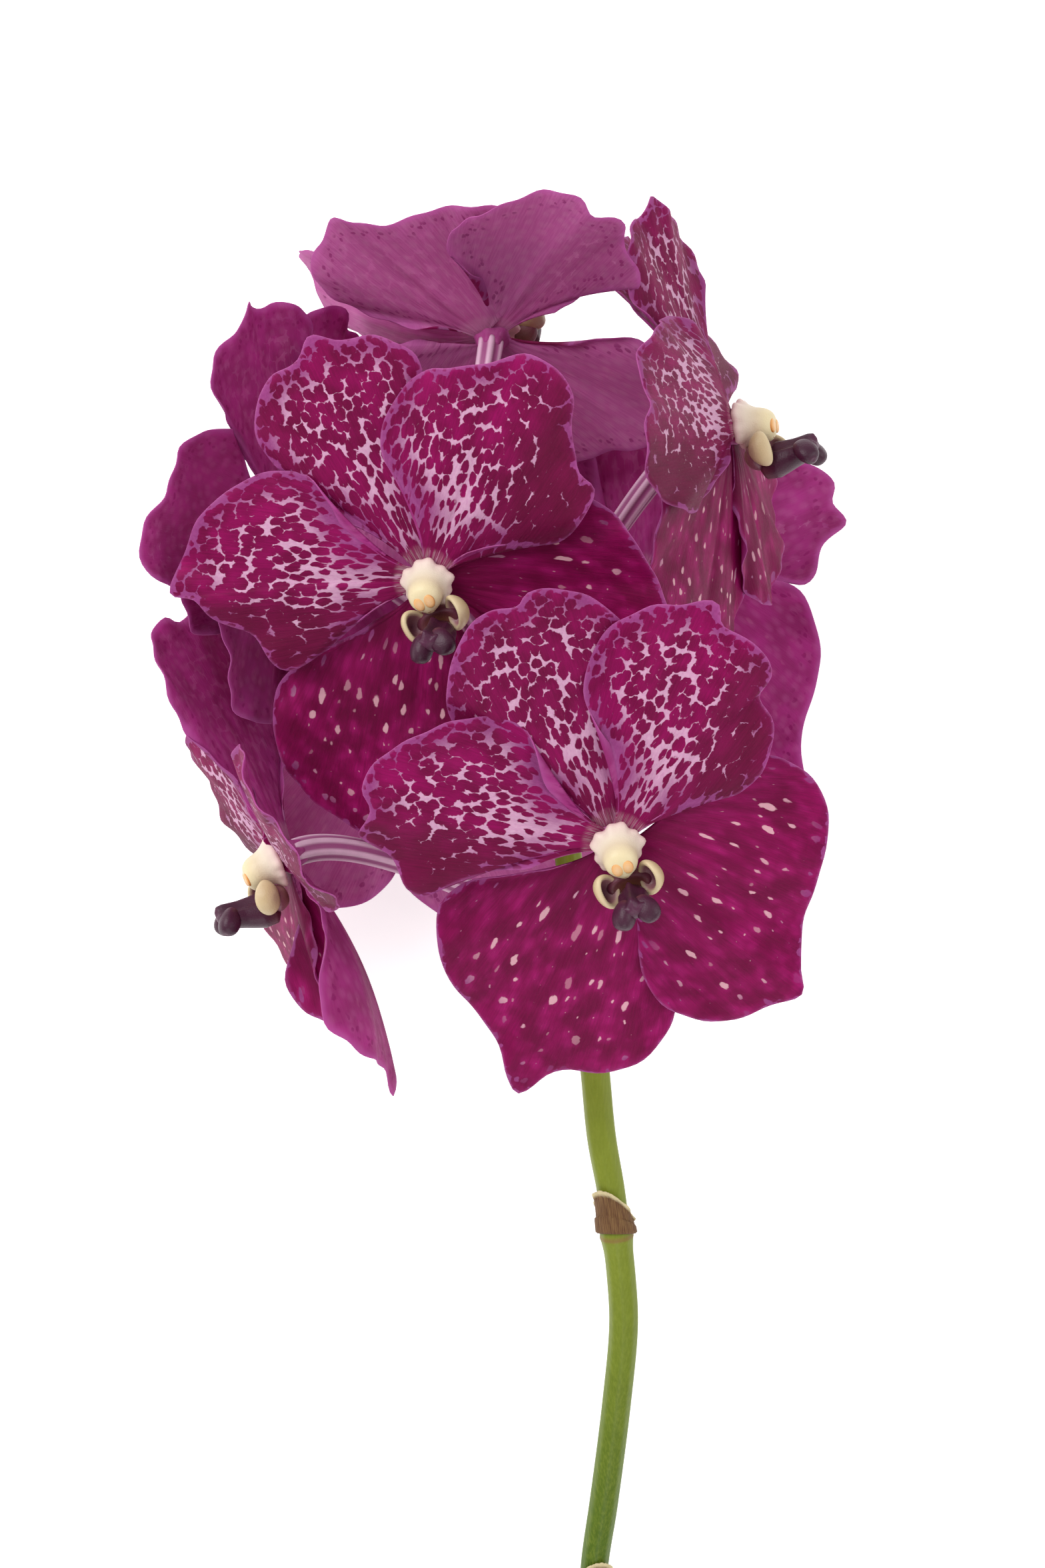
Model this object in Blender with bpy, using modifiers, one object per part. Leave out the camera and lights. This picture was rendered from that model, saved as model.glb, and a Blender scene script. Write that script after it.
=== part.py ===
"""Cut spray of a spotted vanda orchid lying on its back petals: eight blooms, their stalks, the stem and two bracts.

Every place is first laid out in millimetres in a plan frame whose Z axis comes out of the front blooms, X to the
right and Y along the stem towards its head. The rest turn then lays the spray on the ground, in metres.
"""
import math

import bmesh
import bpy
import numpy as np

MILLIMETRE = 0.001

# Driving dimensions in millimetres.
BLADE_THICKNESS = 0.8
CLAW_HALF_WIDTH = 2.0
CLAW_START = 2.2
HUB_RADIUS = 3.6
HUB_HALF_THICKNESS = 1.7
COLUMN_BASE_RADIUS = 3.9
COLUMN_WAIST_RADIUS = 2.9
COLUMN_CAP_RADIUS = 3.1
COLUMN_START = 2.1
COLUMN_LENGTH = 6.4
LIP_DROP = 6.45
LIP_TONGUE_LENGTH = 13.0
SIDE_LOBE_HEIGHT = 6.0
STALK_ROOT_RADIUS = 1.7
STALK_HEAD_RADIUS = 2.4
STEM_RADIUS = 2.75
RACHIS_TOP_RADIUS = 1.7
NODE_SWELLING = 0.35
CUT_END_Y = -165.5
UPPER_NODE_Y = -85.1
LOWER_NODE_Y = -158.0
BRACT_THICKNESS = 0.7
JOINT_GAP = 0.35

# The rest turn, in degrees, and the depth the lowest points are flattened by.
REST_PITCH = 2.7
REST_LEAN = -4.8
FLAT_DEPTH = 0.4

# How finely the faceted blades are divided: rows from the claw to the margin, and steps round the margin.
BLADE_ROWS = (0.0, 0.4, 0.75, 1.0)
BLADE_STEPS = 11

# Margins of the blades in millimetres, along the midrib and across it, from the claw's right side round the tip.
MARGINS = {
    "dorsal_a": [(8, -4.5), (20, -9), (36, -14), (43, -10), (47, -4.5), (48.5, 0.5), (46.5, 3), (47, 8), (43.5, 14),
                 (37, 19), (30, 21), (22, 18), (9, 6)],
    "dorsal_b": [(8, -4), (20, -9), (30, -14.5), (37, -15.5), (42.5, -10), (44.5, -3), (47.5, 0.5), (44, 5),
                 (42.5, 12), (37, 17.5), (30, 18.5), (20, 14), (9, 6)],
    "petal_right_a": [(7, -4.5), (11, -7.5), (16, -14.5), (22.5, -16.5), (32, -14), (35, -9.5), (41, -9), (45, -4),
                      (45, 3), (48, 5.5), (45, 11), (42, 16), (34.5, 20), (30, 20.5), (21, 18.5), (13, 8), (6, 3.5)],
    "petal_right_b": [(7, -5), (10.5, -9.5), (15, -19), (21, -21.5), (28, -21.5), (30, -17.5), (38, -13.5),
                      (45, -11.5), (47.5, -3), (42, 5), (39, 10), (36, 14), (29.5, 17.5), (18.5, 17.5), (10, 6)],
    "petal_left_a": [(7, -4), (13, -7.5), (19.5, -17), (27, -17.5), (34, -15.5), (40, -10.5), (45, -4.5),
                     (46, -0.5), (43.5, 3), (44, 8.5), (37, 11.5), (33, 16.5), (29.5, 17.5), (24, 13), (12, 7.5)],
    "petal_left_b": [(7, -4), (12.5, -8.5), (19, -18.5), (25.5, -19.5), (33, -17), (40, -11), (42.5, -5), (45.5, 3),
                     (41, 4), (38, 8), (31, 11), (25.5, 17.5), (19, 15), (10, 7)],
    "petal_left_c": [(3, -9), (6, -17.5), (13, -20), (22, -18.5), (31, -15.5), (41.5, -8.5), (42, -2.5), (47.5, 4),
                     (45.5, 11.5), (40, 16.5), (27, 18.5), (15, 12.5), (6, 5)],
    "sepal_left_a": [(6, -8), (14.5, -20.5), (20.5, -24.5), (25, -24), (33.5, -19), (44.5, -4), (50, 0), (53, 3.5),
                     (48, 7), (46, 10.5), (43, 18.5), (34.5, 24), (26.5, 24), (15, 16), (6, 7)],
    "sepal_left_b": [(8, -9), (19.5, -22.5), (26, -26.5), (34, -26), (41, -23.5), (47.5, -18), (51, -9), (52, -4),
                     (49.5, 2), (45.5, 8), (39, 13), (30, 17), (20, 15), (8, 8)],
    "sepal_right_a": [(7, -6), (14, -14), (20.5, -19.5), (29, -21), (38.5, -17), (41, -11), (44.5, -4), (41.5, -0.5),
                      (36, 7), (31.5, 17), (25.5, 27), (18, 30.5), (10, 30), (4.5, 24), (2, 12)],
    "sepal_right_b": [(8, -6.5), (18, -12), (28, -14), (36, -11), (41, -4), (42.5, 1), (40, 6), (35, 13), (30, 18.5),
                      (23, 21), (15, 18), (6, 9)],
}

# Each bloom: where its blades meet, the way it faces (turn to the right, rise), its roll, where its stalk leaves the
# rachis, then its five blades. A blade is its margin, its angle round the bloom, its tilt forward, its roll about the
# midrib, its height, its scale, its bend along the midrib and its cup across it.
BLOOMS = {
    1: ((-16.9, 37.3, 38), (-10, -25), 20, -2, (
        ("dorsal_b", 92, -4, 0, -0.8, 1.0, -0.03, -0.08),
        ("petal_right_b", 46, 4, -8, 0.6, 1.0, -0.03, -0.12),
        ("petal_left_b", 158, 4, 8, 0.2, 1.0, -0.03, -0.1),
        ("sepal_left_b", 240, 0, 0, -0.2, 1.0, -0.03, -0.05),
        ("sepal_right_b", 326, -6, 0, 0.0, 1.0, 0.08, -0.05))),
    2: ((17.0, -10.4, 44), (5, -27), 20, -38, (
        ("dorsal_a", 90, -4, 0, -0.8, 1.0, -0.03, -0.08),
        ("petal_right_a", 46, 4, -8, 0.6, 1.0, -0.03, -0.12),
        ("petal_left_a", 146, 4, 8, 0.2, 1.0, -0.03, -0.1),
        ("sepal_left_a", 230, 0, 0, -0.2, 1.0, -0.03, -0.05),
        ("sepal_right_a", 304, 2, 0, 0.0, 1.0, -0.03, -0.05))),
    3: ((39.1, 66.8, 4), (68, 8), 0, 30, (
        ("dorsal_b", 94, -15, -4, -0.8, 0.91, 0.1, -0.08),
        ("petal_right_a", 64, -19, -14, -1.4, 0.92, -0.05, -0.12),
        ("petal_left_c", 178, 2, 4, 1.2, 1.0, -0.05, -0.12),
        ("sepal_left_b", 250, -6, 0, -0.4, 0.96, -0.03, -0.05),
        ("sepal_right_b", 300, -3, 0, 0.0, 0.83, -0.03, -0.05))),
    4: ((-44.0, -13.5, 10), (-80, -22), 0, -27, (
        ("dorsal_a", 90, 4, -40, -0.8, 0.98, 0.05, -0.1),
        ("petal_right_a", 8, 9, 12, 0.6, 0.92, -0.06, -0.2),
        ("petal_left_b", 150, 8, 0, 0.3, 0.95, -0.05, -0.12),
        ("sepal_left_b", 215, 5, 0, -0.2, 0.9, -0.03, -0.05),
        ("sepal_left_a", 278, -20, 0, 0.0, 0.83, 0.35, 0.6))),
    5: ((-5.8, 84.3, -6), (172, 48), -40, 58, (
        ("sepal_right_a", 93, 0, 0, -0.8, 0.84, 0.05, 0.1),
        ("petal_right_a", 28, 8, 0, 0.6, 0.85, 0.45, -0.1),
        ("petal_left_a", 158, -8, 0, 0.5, 1.0, -0.03, -0.1),
        ("sepal_right_a", 258, -5, 0, -0.2, 0.88, -0.05, -0.05),
        ("sepal_right_a", 322, 0, 0, 0.0, 0.8, -0.03, -0.05))),
    6: ((-45.1, 47.2, -6), (-122, 5), -25, 20, (
        ("dorsal_b", 88, 0, 0, -0.8, 0.95, -0.03, -0.08),
        ("petal_right_b", 28, 0, 0, 0.6, 0.95, -0.05, -0.1),
        ("petal_left_a", 136, 4, 0, 0.3, 0.95, -0.05, -0.1),
        ("sepal_left_a", 266, -26, 0, -0.2, 0.9, -0.03, -0.05),
        ("sepal_right_b", 330, -12, 0, 0.0, 0.95, -0.03, -0.05))),
    7: ((22.5, 38.0, -34), (165, 0), 0, 8, (
        ("dorsal_a", 86, 0, 0, -0.8, 0.92, -0.03, -0.08),
        ("petal_right_a", 34, -8, 0, 0.3, 0.92, -0.05, -0.1),
        ("petal_left_a", 150, 5, 0, 0.4, 0.85, 0.4, -0.1),
        ("sepal_left_a", 228, 0, 0, -0.2, 0.94, -0.03, -0.05),
        ("sepal_right_b", 306, 2, 0, 0.0, 0.92, -0.03, -0.05))),
    8: ((-22.0, 14.0, -28), (-170, 0), 0, -12, (
        ("dorsal_a", 92, 6, 0, -0.8, 0.88, -0.03, -0.08),
        ("petal_right_a", 32, 8, 0, 0.3, 0.97, 0.38, -0.1),
        ("petal_left_a", 152, -8, 0, 0.6, 0.9, -0.03, -0.1),
        ("sepal_left_b", 244, 0, 0, -0.2, 0.9, -0.03, -0.05),
        ("sepal_right_b", 300, 0, 0, 0.0, 0.95, -0.03, -0.05))),
}

# The stem's centre line in millimetres, from the cut end to the top of the rachis.
STEM_LINE = [
    (13.5, CUT_END_Y, -39.0), (13.8, -151.0, -33.0), (15.6, -137.5, -27.5), (17.9, -118.2, -20.0),
    (19.2, -102.4, -14.5), (18.7, -93.0, -11.5), (17.8, UPPER_NODE_Y, -9.0), (16.7, -76.6, -6.5),
    (14.9, -66.4, -4.5), (13.6, -53.2, -3.0), (12.0, -39.0, -2.5), (9.3, -19.0, -3.0), (7.3, -3.0, -4.0),
    (4.8, 16.0, -6.0), (2.0, 34.5, -8.0), (-0.8, 52.0, -8.0), (-2.0, 61.0, -7.0),
]


def unit(vector):
    """The vector with length one."""
    return np.asarray(vector, float) / np.linalg.norm(vector)


def rest(points):
    """Turns plan millimetres by the rest pitch about X, then the rest lean about Y."""
    pitch, lean = math.radians(REST_PITCH), math.radians(REST_LEAN)
    cp, sp, cl, sl = math.cos(pitch), math.sin(pitch), math.cos(lean), math.sin(lean)
    about_x = np.array([[1, 0, 0], [0, cp, -sp], [0, sp, cp]])
    about_y = np.array([[cl, 0, sl], [0, 1, 0], [-sl, 0, cl]])
    return np.asarray(points, float) @ (about_y @ about_x).T


def bloom_axes(facing, roll):
    """Right, up and facing directions of a bloom from its turn, rise and roll in degrees."""
    turn, rise, spin = np.radians([facing[0], facing[1], roll])
    front = np.array([math.sin(turn) * math.cos(rise), math.sin(rise), math.cos(turn) * math.cos(rise)])
    up = unit(np.array([0.0, 1.0, 0.0]) - front[1] * front)
    side = np.cross(up, front)
    up = math.cos(spin) * up - math.sin(spin) * side
    return np.cross(up, front), up, front


def blade_axes(axes, angle, tilt, roll):
    """Directions along a blade, across it and out of its front."""
    right, up, front = axes
    around, lift, spin = np.radians([angle, tilt, roll])
    out = math.cos(around) * right + math.sin(around) * up
    along = math.cos(lift) * out + math.sin(lift) * front
    level = np.cross(front, out)
    across = math.cos(spin) * level + math.sin(spin) * np.cross(along, level)
    return along, across, np.cross(along, across)


def smooth_line(points, steps, power=0.5):
    """A Catmull-Rom line through the points, as steps + 1 points evenly spaced along it."""
    knots = np.asarray(points, float)
    knots = np.vstack([2 * knots[0] - knots[1], knots, 2 * knots[-1] - knots[-2]])
    spans = np.linalg.norm(np.diff(knots, axis=0), axis=1) ** power
    at = np.concatenate([[0.0], np.cumsum(spans)])
    runs = []
    for i in range(1, len(knots) - 2):
        t = np.linspace(at[i], at[i + 1], 24, endpoint=False)[:, None]
        a = ((at[i] - t) * knots[i - 1] + (t - at[i - 1]) * knots[i]) / (at[i] - at[i - 1])
        b = ((at[i + 1] - t) * knots[i] + (t - at[i]) * knots[i + 1]) / (at[i + 1] - at[i])
        c = ((at[i + 2] - t) * knots[i + 1] + (t - at[i + 1]) * knots[i + 2]) / (at[i + 2] - at[i + 1])
        d = ((at[i + 1] - t) * a + (t - at[i - 1]) * b) / (at[i + 1] - at[i - 1])
        e = ((at[i + 2] - t) * b + (t - at[i]) * c) / (at[i + 2] - at[i])
        runs.append(((at[i + 1] - t) * d + (t - at[i]) * e) / (at[i + 1] - at[i]))
    line = np.vstack(runs + [knots[-2:-1]])
    length = np.concatenate([[0.0], np.cumsum(np.linalg.norm(np.diff(line, axis=0), axis=1))])
    places = np.linspace(0, length[-1], steps + 1)
    return np.stack([np.interp(places, length, line[:, k]) for k in range(line.shape[1])], -1)


def blade_surface(margin, rows, steps, bend, cup, phase):
    """Points of a blade: veins fan out from the claw to the margin, and bend, cup and a marginal wave raise them."""
    edge = smooth_line(margin, steps)
    s = np.asarray(rows, float)[:, None]
    v = np.linspace(-1.0, 1.0, steps + 1)[None, :]
    edge_x, edge_y = edge[None, :, 0], edge[None, :, 1]
    claw_y = CLAW_HALF_WIDTH * v
    x = 2 * s * (1 - s) * 0.45 * edge_x + s * s * edge_x
    y = (1 - s) ** 2 * claw_y + 2 * s * (1 - s) * (0.2 * edge_y + 0.7 * claw_y) + s * s * edge_y
    length, width = edge_x.max(), np.abs(edge_y).max()
    z = bend * length * (x / length) ** 2 + cup * y * y / width
    z = z + s ** 3 * np.sin(math.pi * 4.5 * v + phase)
    return np.stack([x, y, z], -1)


def bloom_blades(number):
    """Plan-frame point grids of a bloom's five blades."""
    centre, facing, roll, _, blades = BLOOMS[number]
    axes = bloom_axes(facing, roll)
    grids = []
    for index, (margin, angle, tilt, spin, height, scale, bend, cup) in enumerate(blades):
        along, across, out = blade_axes(axes, angle, tilt, spin)
        outline = np.array(MARGINS[margin], float) * scale
        surface = blade_surface(outline, BLADE_ROWS, BLADE_STEPS, bend, cup, number + 2.1 * index)
        start = np.array(centre) + height * axes[2] + CLAW_START * along
        grids.append(start + surface @ np.array([along, across, out]))
    return grids


def grid_faces(rows, columns, closed=False):
    """Four-cornered faces over a grid of points, joined round the columns when closed."""
    faces = []
    for i in range(rows - 1):
        for j in range(columns if closed else columns - 1):
            k = (j + 1) % columns
            faces.append((i * columns + j, i * columns + k, (i + 1) * columns + k, (i + 1) * columns + j))
    return faces


def new_mesh(name, points, faces):
    """A mesh with its faces turned outwards when closed."""
    mesh = bpy.data.meshes.new(name)
    mesh.from_pydata([tuple(p) for p in points], [], faces)
    shell = bmesh.new()
    shell.from_mesh(mesh)
    bmesh.ops.recalc_face_normals(shell, faces=shell.faces)
    shell.to_mesh(mesh)
    shell.free()
    return mesh


def scaled_object(name, mesh, collection):
    """An object for a mesh whose points are plan millimetres; the rest turn and the metre scale go into the mesh."""
    points = np.empty(len(mesh.vertices) * 3)
    mesh.vertices.foreach_get("co", points)
    placed = rest(points.reshape(-1, 3)) * MILLIMETRE
    mesh.vertices.foreach_set("co", placed.ravel())
    mesh.update()
    item = bpy.data.objects.new(name, mesh)
    collection.objects.link(item)
    return item


def blade_object(name, grid, collection):
    """A blade of even thickness from its open surface, both of its faces split alike."""
    rows, columns = grid.shape[:2]
    mesh = new_mesh(name, grid.reshape(-1, 3), grid_faces(rows, columns))
    item = scaled_object(name, mesh, collection)
    split = item.modifiers.new("split", "TRIANGULATE")
    split.quad_method = "FIXED"
    shell = item.modifiers.new("thickness", "SOLIDIFY")
    shell.thickness = BLADE_THICKNESS * MILLIMETRE
    shell.offset = 0.0
    shell.use_even_offset = False
    return item


def tube(line, radii, sides, ways=None, lead=(0.0, 0.0, 1.0)):
    """Points and faces of a round tube with flat ends along a line, square to the given ways where there are any."""
    line = np.asarray(line, float)
    along = np.gradient(line, axis=0) if ways is None else np.asarray(ways, float)
    along = along / np.linalg.norm(along, axis=1, keepdims=True)
    first = unit(np.asarray(lead, float) - np.dot(lead, along[0]) * along[0])
    rings = []
    turn = np.linspace(0, 2 * math.pi, sides, endpoint=False)[:, None]
    for place, way, radius in zip(line, along, radii):
        first = unit(first - np.dot(first, way) * way)
        second = np.cross(way, first)
        rings.append(place + radius * (np.cos(turn) * first + np.sin(turn) * second))
    points = np.vstack(rings)
    faces = grid_faces(len(line), sides, closed=True)
    faces.append(tuple(range(sides - 1, -1, -1)))
    faces.append(tuple((len(line) - 1) * sides + k for k in range(sides)))
    return points, faces


def ball(centre, axes, radii, sides=7, rings=5, bow=0.0):
    """Points and faces of an egg on three axes; bow lifts its far end along the third axis."""
    points = [(-1.0, 0.0, 0.0)]
    for i in range(1, rings):
        polar = math.pi * i / rings
        for k in range(sides):
            turn = 2 * math.pi * k / sides
            points.append((-math.cos(polar), math.sin(polar) * math.cos(turn), math.sin(polar) * math.sin(turn)))
    points.append((1.0, 0.0, 0.0))
    points = np.array(points) * np.array(radii)
    points[:, 2] += bow * (points[:, 0] / radii[0] + 1) ** 2
    faces = [(0, 1 + (k + 1) % sides, 1 + k) for k in range(sides)]
    faces += [tuple(1 + q for q in face) for face in grid_faces(rings - 1, sides, closed=True)]
    last = len(points) - 1
    faces += [(last, last - sides + k, last - sides + (k + 1) % sides) for k in range(sides)]
    return np.asarray(centre) + points @ np.array(axes), faces


def fused(name, pieces, collection):
    """One closed body from the pieces: a single union, then the largest shell of the result."""
    helpers = bpy.data.collections.new(name + "_pieces")
    bpy.context.scene.collection.children.link(helpers)
    helpers.hide_render = True
    for piece in pieces[1:]:
        collection.objects.unlink(piece)
        helpers.objects.link(piece)
        piece.display_type = "WIRE"
    joined = pieces[0]
    union = joined.modifiers.new("union", "BOOLEAN")
    union.operation = "UNION"
    union.operand_type = "COLLECTION"
    union.collection = helpers
    union.solver = "MANIFOLD"
    item = finished(name, pieces, collection)
    bpy.data.collections.remove(helpers)
    return item


def finished(name, pieces, collection):
    """The first piece with its modifiers applied and only its largest shell kept; the other pieces are removed."""
    bpy.context.view_layer.update()
    result = bpy.data.meshes.new_from_object(pieces[0].evaluated_get(bpy.context.evaluated_depsgraph_get()))
    for piece in pieces:
        bpy.data.objects.remove(piece)
    shell = bmesh.new()
    shell.from_mesh(result)
    bmesh.ops.triangulate(shell, faces=shell.faces, quad_method="FIXED", ngon_method="EAR_CLIP")
    groups = islands(shell)
    groups.sort(key=len, reverse=True)
    for group in groups[1:]:
        bmesh.ops.delete(shell, geom=group, context="FACES")
    bmesh.ops.recalc_face_normals(shell, faces=shell.faces)
    shell.to_mesh(result)
    shell.free()
    result.name = name
    item = bpy.data.objects.new(name, result)
    collection.objects.link(item)
    return item


def islands(shell):
    """Lists of faces that hang together across edges two faces share."""
    unseen = set(shell.faces)
    groups = []
    while unseen:
        seed = unseen.pop()
        group, front = [seed], [seed]
        while front:
            face = front.pop()
            for edge in face.edges:
                if len(edge.link_faces) != 2:
                    continue
                for other in edge.link_faces:
                    if other in unseen:
                        unseen.remove(other)
                        group.append(other)
                        front.append(other)
        groups.append(group)
    return groups


def single(name, points, faces, collection):
    """One closed body straight from its points and faces."""
    item = scaled_object(name, new_mesh(name, points, faces), collection)
    shell = bmesh.new()
    shell.from_mesh(item.data)
    bmesh.ops.triangulate(shell, faces=shell.faces)
    shell.to_mesh(item.data)
    shell.free()
    return item


def bloom_tepals(number, name, collection):
    """The five blades of a bloom and the hub they meet in, as one body."""
    centre, facing, roll, _, _ = BLOOMS[number]
    right, up, front = bloom_axes(facing, roll)
    points, faces = ball(centre, (front, right, up), (HUB_HALF_THICKNESS, HUB_RADIUS, HUB_RADIUS), 10, 6)
    pieces = [scaled_object(name, new_mesh(name, points, faces), collection)]
    for index, grid in enumerate(bloom_blades(number)):
        pieces.append(blade_object(f"{name}_{index}", grid, collection))
    return fused(name, pieces, collection)


def bloom_column(number, name, collection):
    """The short column in the middle of a bloom, with its rounded cap."""
    centre, facing, roll, _, _ = BLOOMS[number]
    _, up, front = bloom_axes(facing, roll)
    share = np.array([0.0, 0.12, 0.45, 0.72, 0.92, 1.0])
    radii = np.array([0.93 * COLUMN_BASE_RADIUS, COLUMN_BASE_RADIUS, COLUMN_WAIST_RADIUS, COLUMN_CAP_RADIUS,
                      0.8 * COLUMN_CAP_RADIUS, 0.4 * COLUMN_CAP_RADIUS])
    line = np.array(centre) + (COLUMN_START + share[:, None] * COLUMN_LENGTH) * front
    points, faces = tube(line, radii, 9, lead=up)
    return single(name, points, faces, collection)


def bloom_lip(number, name, collection):
    """The lip under the column: two standing side lobes and a tongue that reaches forward."""
    centre, facing, roll, _, _ = BLOOMS[number]
    right, up, front = bloom_axes(facing, roll)
    middle = np.array(centre, float)
    foot = ball(middle + 4.6 * front - LIP_DROP * up, (right, up, front), (4.6, 3.0, 2.0))
    shapes = [foot]
    for side in (-1, 1):
        lean = unit(front + 0.25 * side * right)
        place = middle + 6.6 * front + 4.7 * side * right - (LIP_DROP - 0.5) * up
        shapes.append(ball(place, (lean, up, np.cross(lean, up)), (SIDE_LOBE_HEIGHT / 2, 3.0, 1.1)))
    way = unit(front + 0.1 * up)
    over = unit(up - np.dot(up, way) * way)
    middle_of_tongue = middle + (4.8 + LIP_TONGUE_LENGTH / 2) * front - (LIP_DROP + 2.2) * up
    shapes.append(ball(middle_of_tongue, (way, np.cross(over, way), over), (LIP_TONGUE_LENGTH / 2, 2.7, 2.9), bow=0.4))
    tip = middle_of_tongue + (LIP_TONGUE_LENGTH / 2 - 2.0) * way + 1.2 * over
    shapes.append(ball(tip, (np.cross(over, way), over, way), (3.7, 1.5, 2.6)))
    pieces = []
    for index, (points, faces) in enumerate(shapes):
        label = name if index == 0 else f"{name}_{index}"
        pieces.append(scaled_object(label, new_mesh(label, points, faces), collection))
    return fused(name, pieces, collection)


def stem_line():
    """The stem's centre line as evenly spaced points."""
    return smooth_line(STEM_LINE, 60)


def stem_radius(y):
    """The stem's radius at a height, swollen at its two nodes and drawn in along the rachis."""
    radius = np.interp(y, [CUT_END_Y, -55.0, 20.0, 61.0], [STEM_RADIUS, STEM_RADIUS, 2.4, RACHIS_TOP_RADIUS])
    for node in (UPPER_NODE_Y, LOWER_NODE_Y):
        radius = radius + NODE_SWELLING * np.exp(-((y - node) / 2.2) ** 2)
    return radius


def stalk_line(number, steps=8):
    """A bloom's stalk from the rachis to the back of its hub, and its direction at each point."""
    centre, facing, roll, leave, _ = BLOOMS[number]
    front = bloom_axes(facing, roll)[2]
    rachis = stem_line()
    root = rachis[np.argmin(np.abs(rachis[:, 1] - leave))]
    end = np.array(centre) - front * (HUB_HALF_THICKNESS + JOINT_GAP)
    out = end - root
    way = rachis[np.argmin(np.abs(rachis[:, 1] - leave)) + 1] - root
    way = unit(way)
    out = unit(out - np.dot(out, way) * way)
    start = root + out * (stem_radius(root[1]) + JOINT_GAP)
    first = start + 9.0 * out + 4.0 * way
    second = end - 14.0 * front
    t = np.linspace(0, 1, steps)[:, None]
    line = (1 - t) ** 3 * start + 3 * (1 - t) ** 2 * t * first + 3 * (1 - t) * t * t * second + t ** 3 * end
    ways = (1 - t) ** 2 * (first - start) + 2 * (1 - t) * t * (second - first) + t * t * (end - second)
    ways[0] = out
    return line, ways


def bloom_stalk(number, name, collection):
    """The ribbed stalk that carries a bloom, wider towards its head."""
    line, ways = stalk_line(number)
    share = np.linspace(0, 1, len(line))
    radii = STALK_ROOT_RADIUS + (STALK_HEAD_RADIUS - STALK_ROOT_RADIUS) * share ** 1.5
    radii[-1] *= 0.85
    points, faces = tube(line, radii, 8, ways)
    return single(name, points, faces, collection)


def stem(collection):
    """The stem and rachis from the cut end to the head."""
    line = smooth_line(STEM_LINE, 38)
    points, faces = tube(line, stem_radius(line[:, 1]), 12)
    return single("stem", points, faces, collection)


def bract(name, node_y, height, lean_side, collection):
    """A papery scale that clasps the stem above a node and ends in a slanting margin."""
    rachis = smooth_line(STEM_LINE, 400)
    heights = np.array([0.0, 0.35, 0.7, 1.0])
    turns = np.radians(np.linspace(-125, 125, 12))
    rings = []
    for level in heights:
        row = []
        for turn in turns:
            drop = (1 - math.cos(turn)) / 2
            y = node_y + 0.6 + level * (height * (1 - drop) + 0.9)
            spot = np.argmin(np.abs(rachis[:, 1] - y))
            inner = max(stem_radius(rachis[spot, 1]), stem_radius(node_y) if level < 0.4 else 0)
            radius = inner + JOINT_GAP + BRACT_THICKNESS / 2
            angle = turn + math.radians(lean_side)
            row.append(rachis[spot] + radius * np.array([math.sin(angle), 0.0, math.cos(angle)]))
        rings.append(row)
    grid = np.array(rings)
    item = blade_object(name, grid, collection)
    item.modifiers["thickness"].thickness = BRACT_THICKNESS * MILLIMETRE
    return finished(name, [item], collection)


# Each material: its name, colour and roughness.
MATERIALS = {
    "petal_magenta": ((0.36, 0.012, 0.12), 0.55),
    "column_cream": ((0.86, 0.74, 0.5), 0.4),
    "lip_purple": ((0.09, 0.015, 0.035), 0.4),
    "stalk_pink": ((0.72, 0.42, 0.5), 0.5),
    "stem_green": ((0.2, 0.3, 0.035), 0.5),
    "bract_brown": ((0.22, 0.1, 0.045), 0.7),
}


def make_material(name):
    """A plain material of the named colour."""
    colour, roughness = MATERIALS[name]
    material = bpy.data.materials.new(name)
    material.use_nodes = True
    surface = next(node for node in material.node_tree.nodes if node.type == "BSDF_PRINCIPLED")
    surface.inputs["Base Color"].default_value = (*colour, 1.0)
    surface.inputs["Roughness"].default_value = roughness
    material.diffuse_color = (*colour, 1.0)
    return material


def level(mesh):
    """Cuts off what lies below the ground and closes the cut with flat faces."""
    shell = bmesh.new()
    shell.from_mesh(mesh)
    everything = shell.verts[:] + shell.edges[:] + shell.faces[:]
    cut = bmesh.ops.bisect_plane(shell, geom=everything, plane_co=(0, 0, 0), plane_no=(0, 0, 1), clear_inner=True)
    rim = [piece for piece in cut["geom_cut"] if isinstance(piece, bmesh.types.BMEdge)]
    bmesh.ops.edgeloop_fill(shell, edges=rim)
    bmesh.ops.triangulate(shell, faces=shell.faces, quad_method="FIXED", ngon_method="EAR_CLIP")
    bmesh.ops.recalc_face_normals(shell, faces=shell.faces)
    shell.to_mesh(mesh)
    shell.free()


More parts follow.
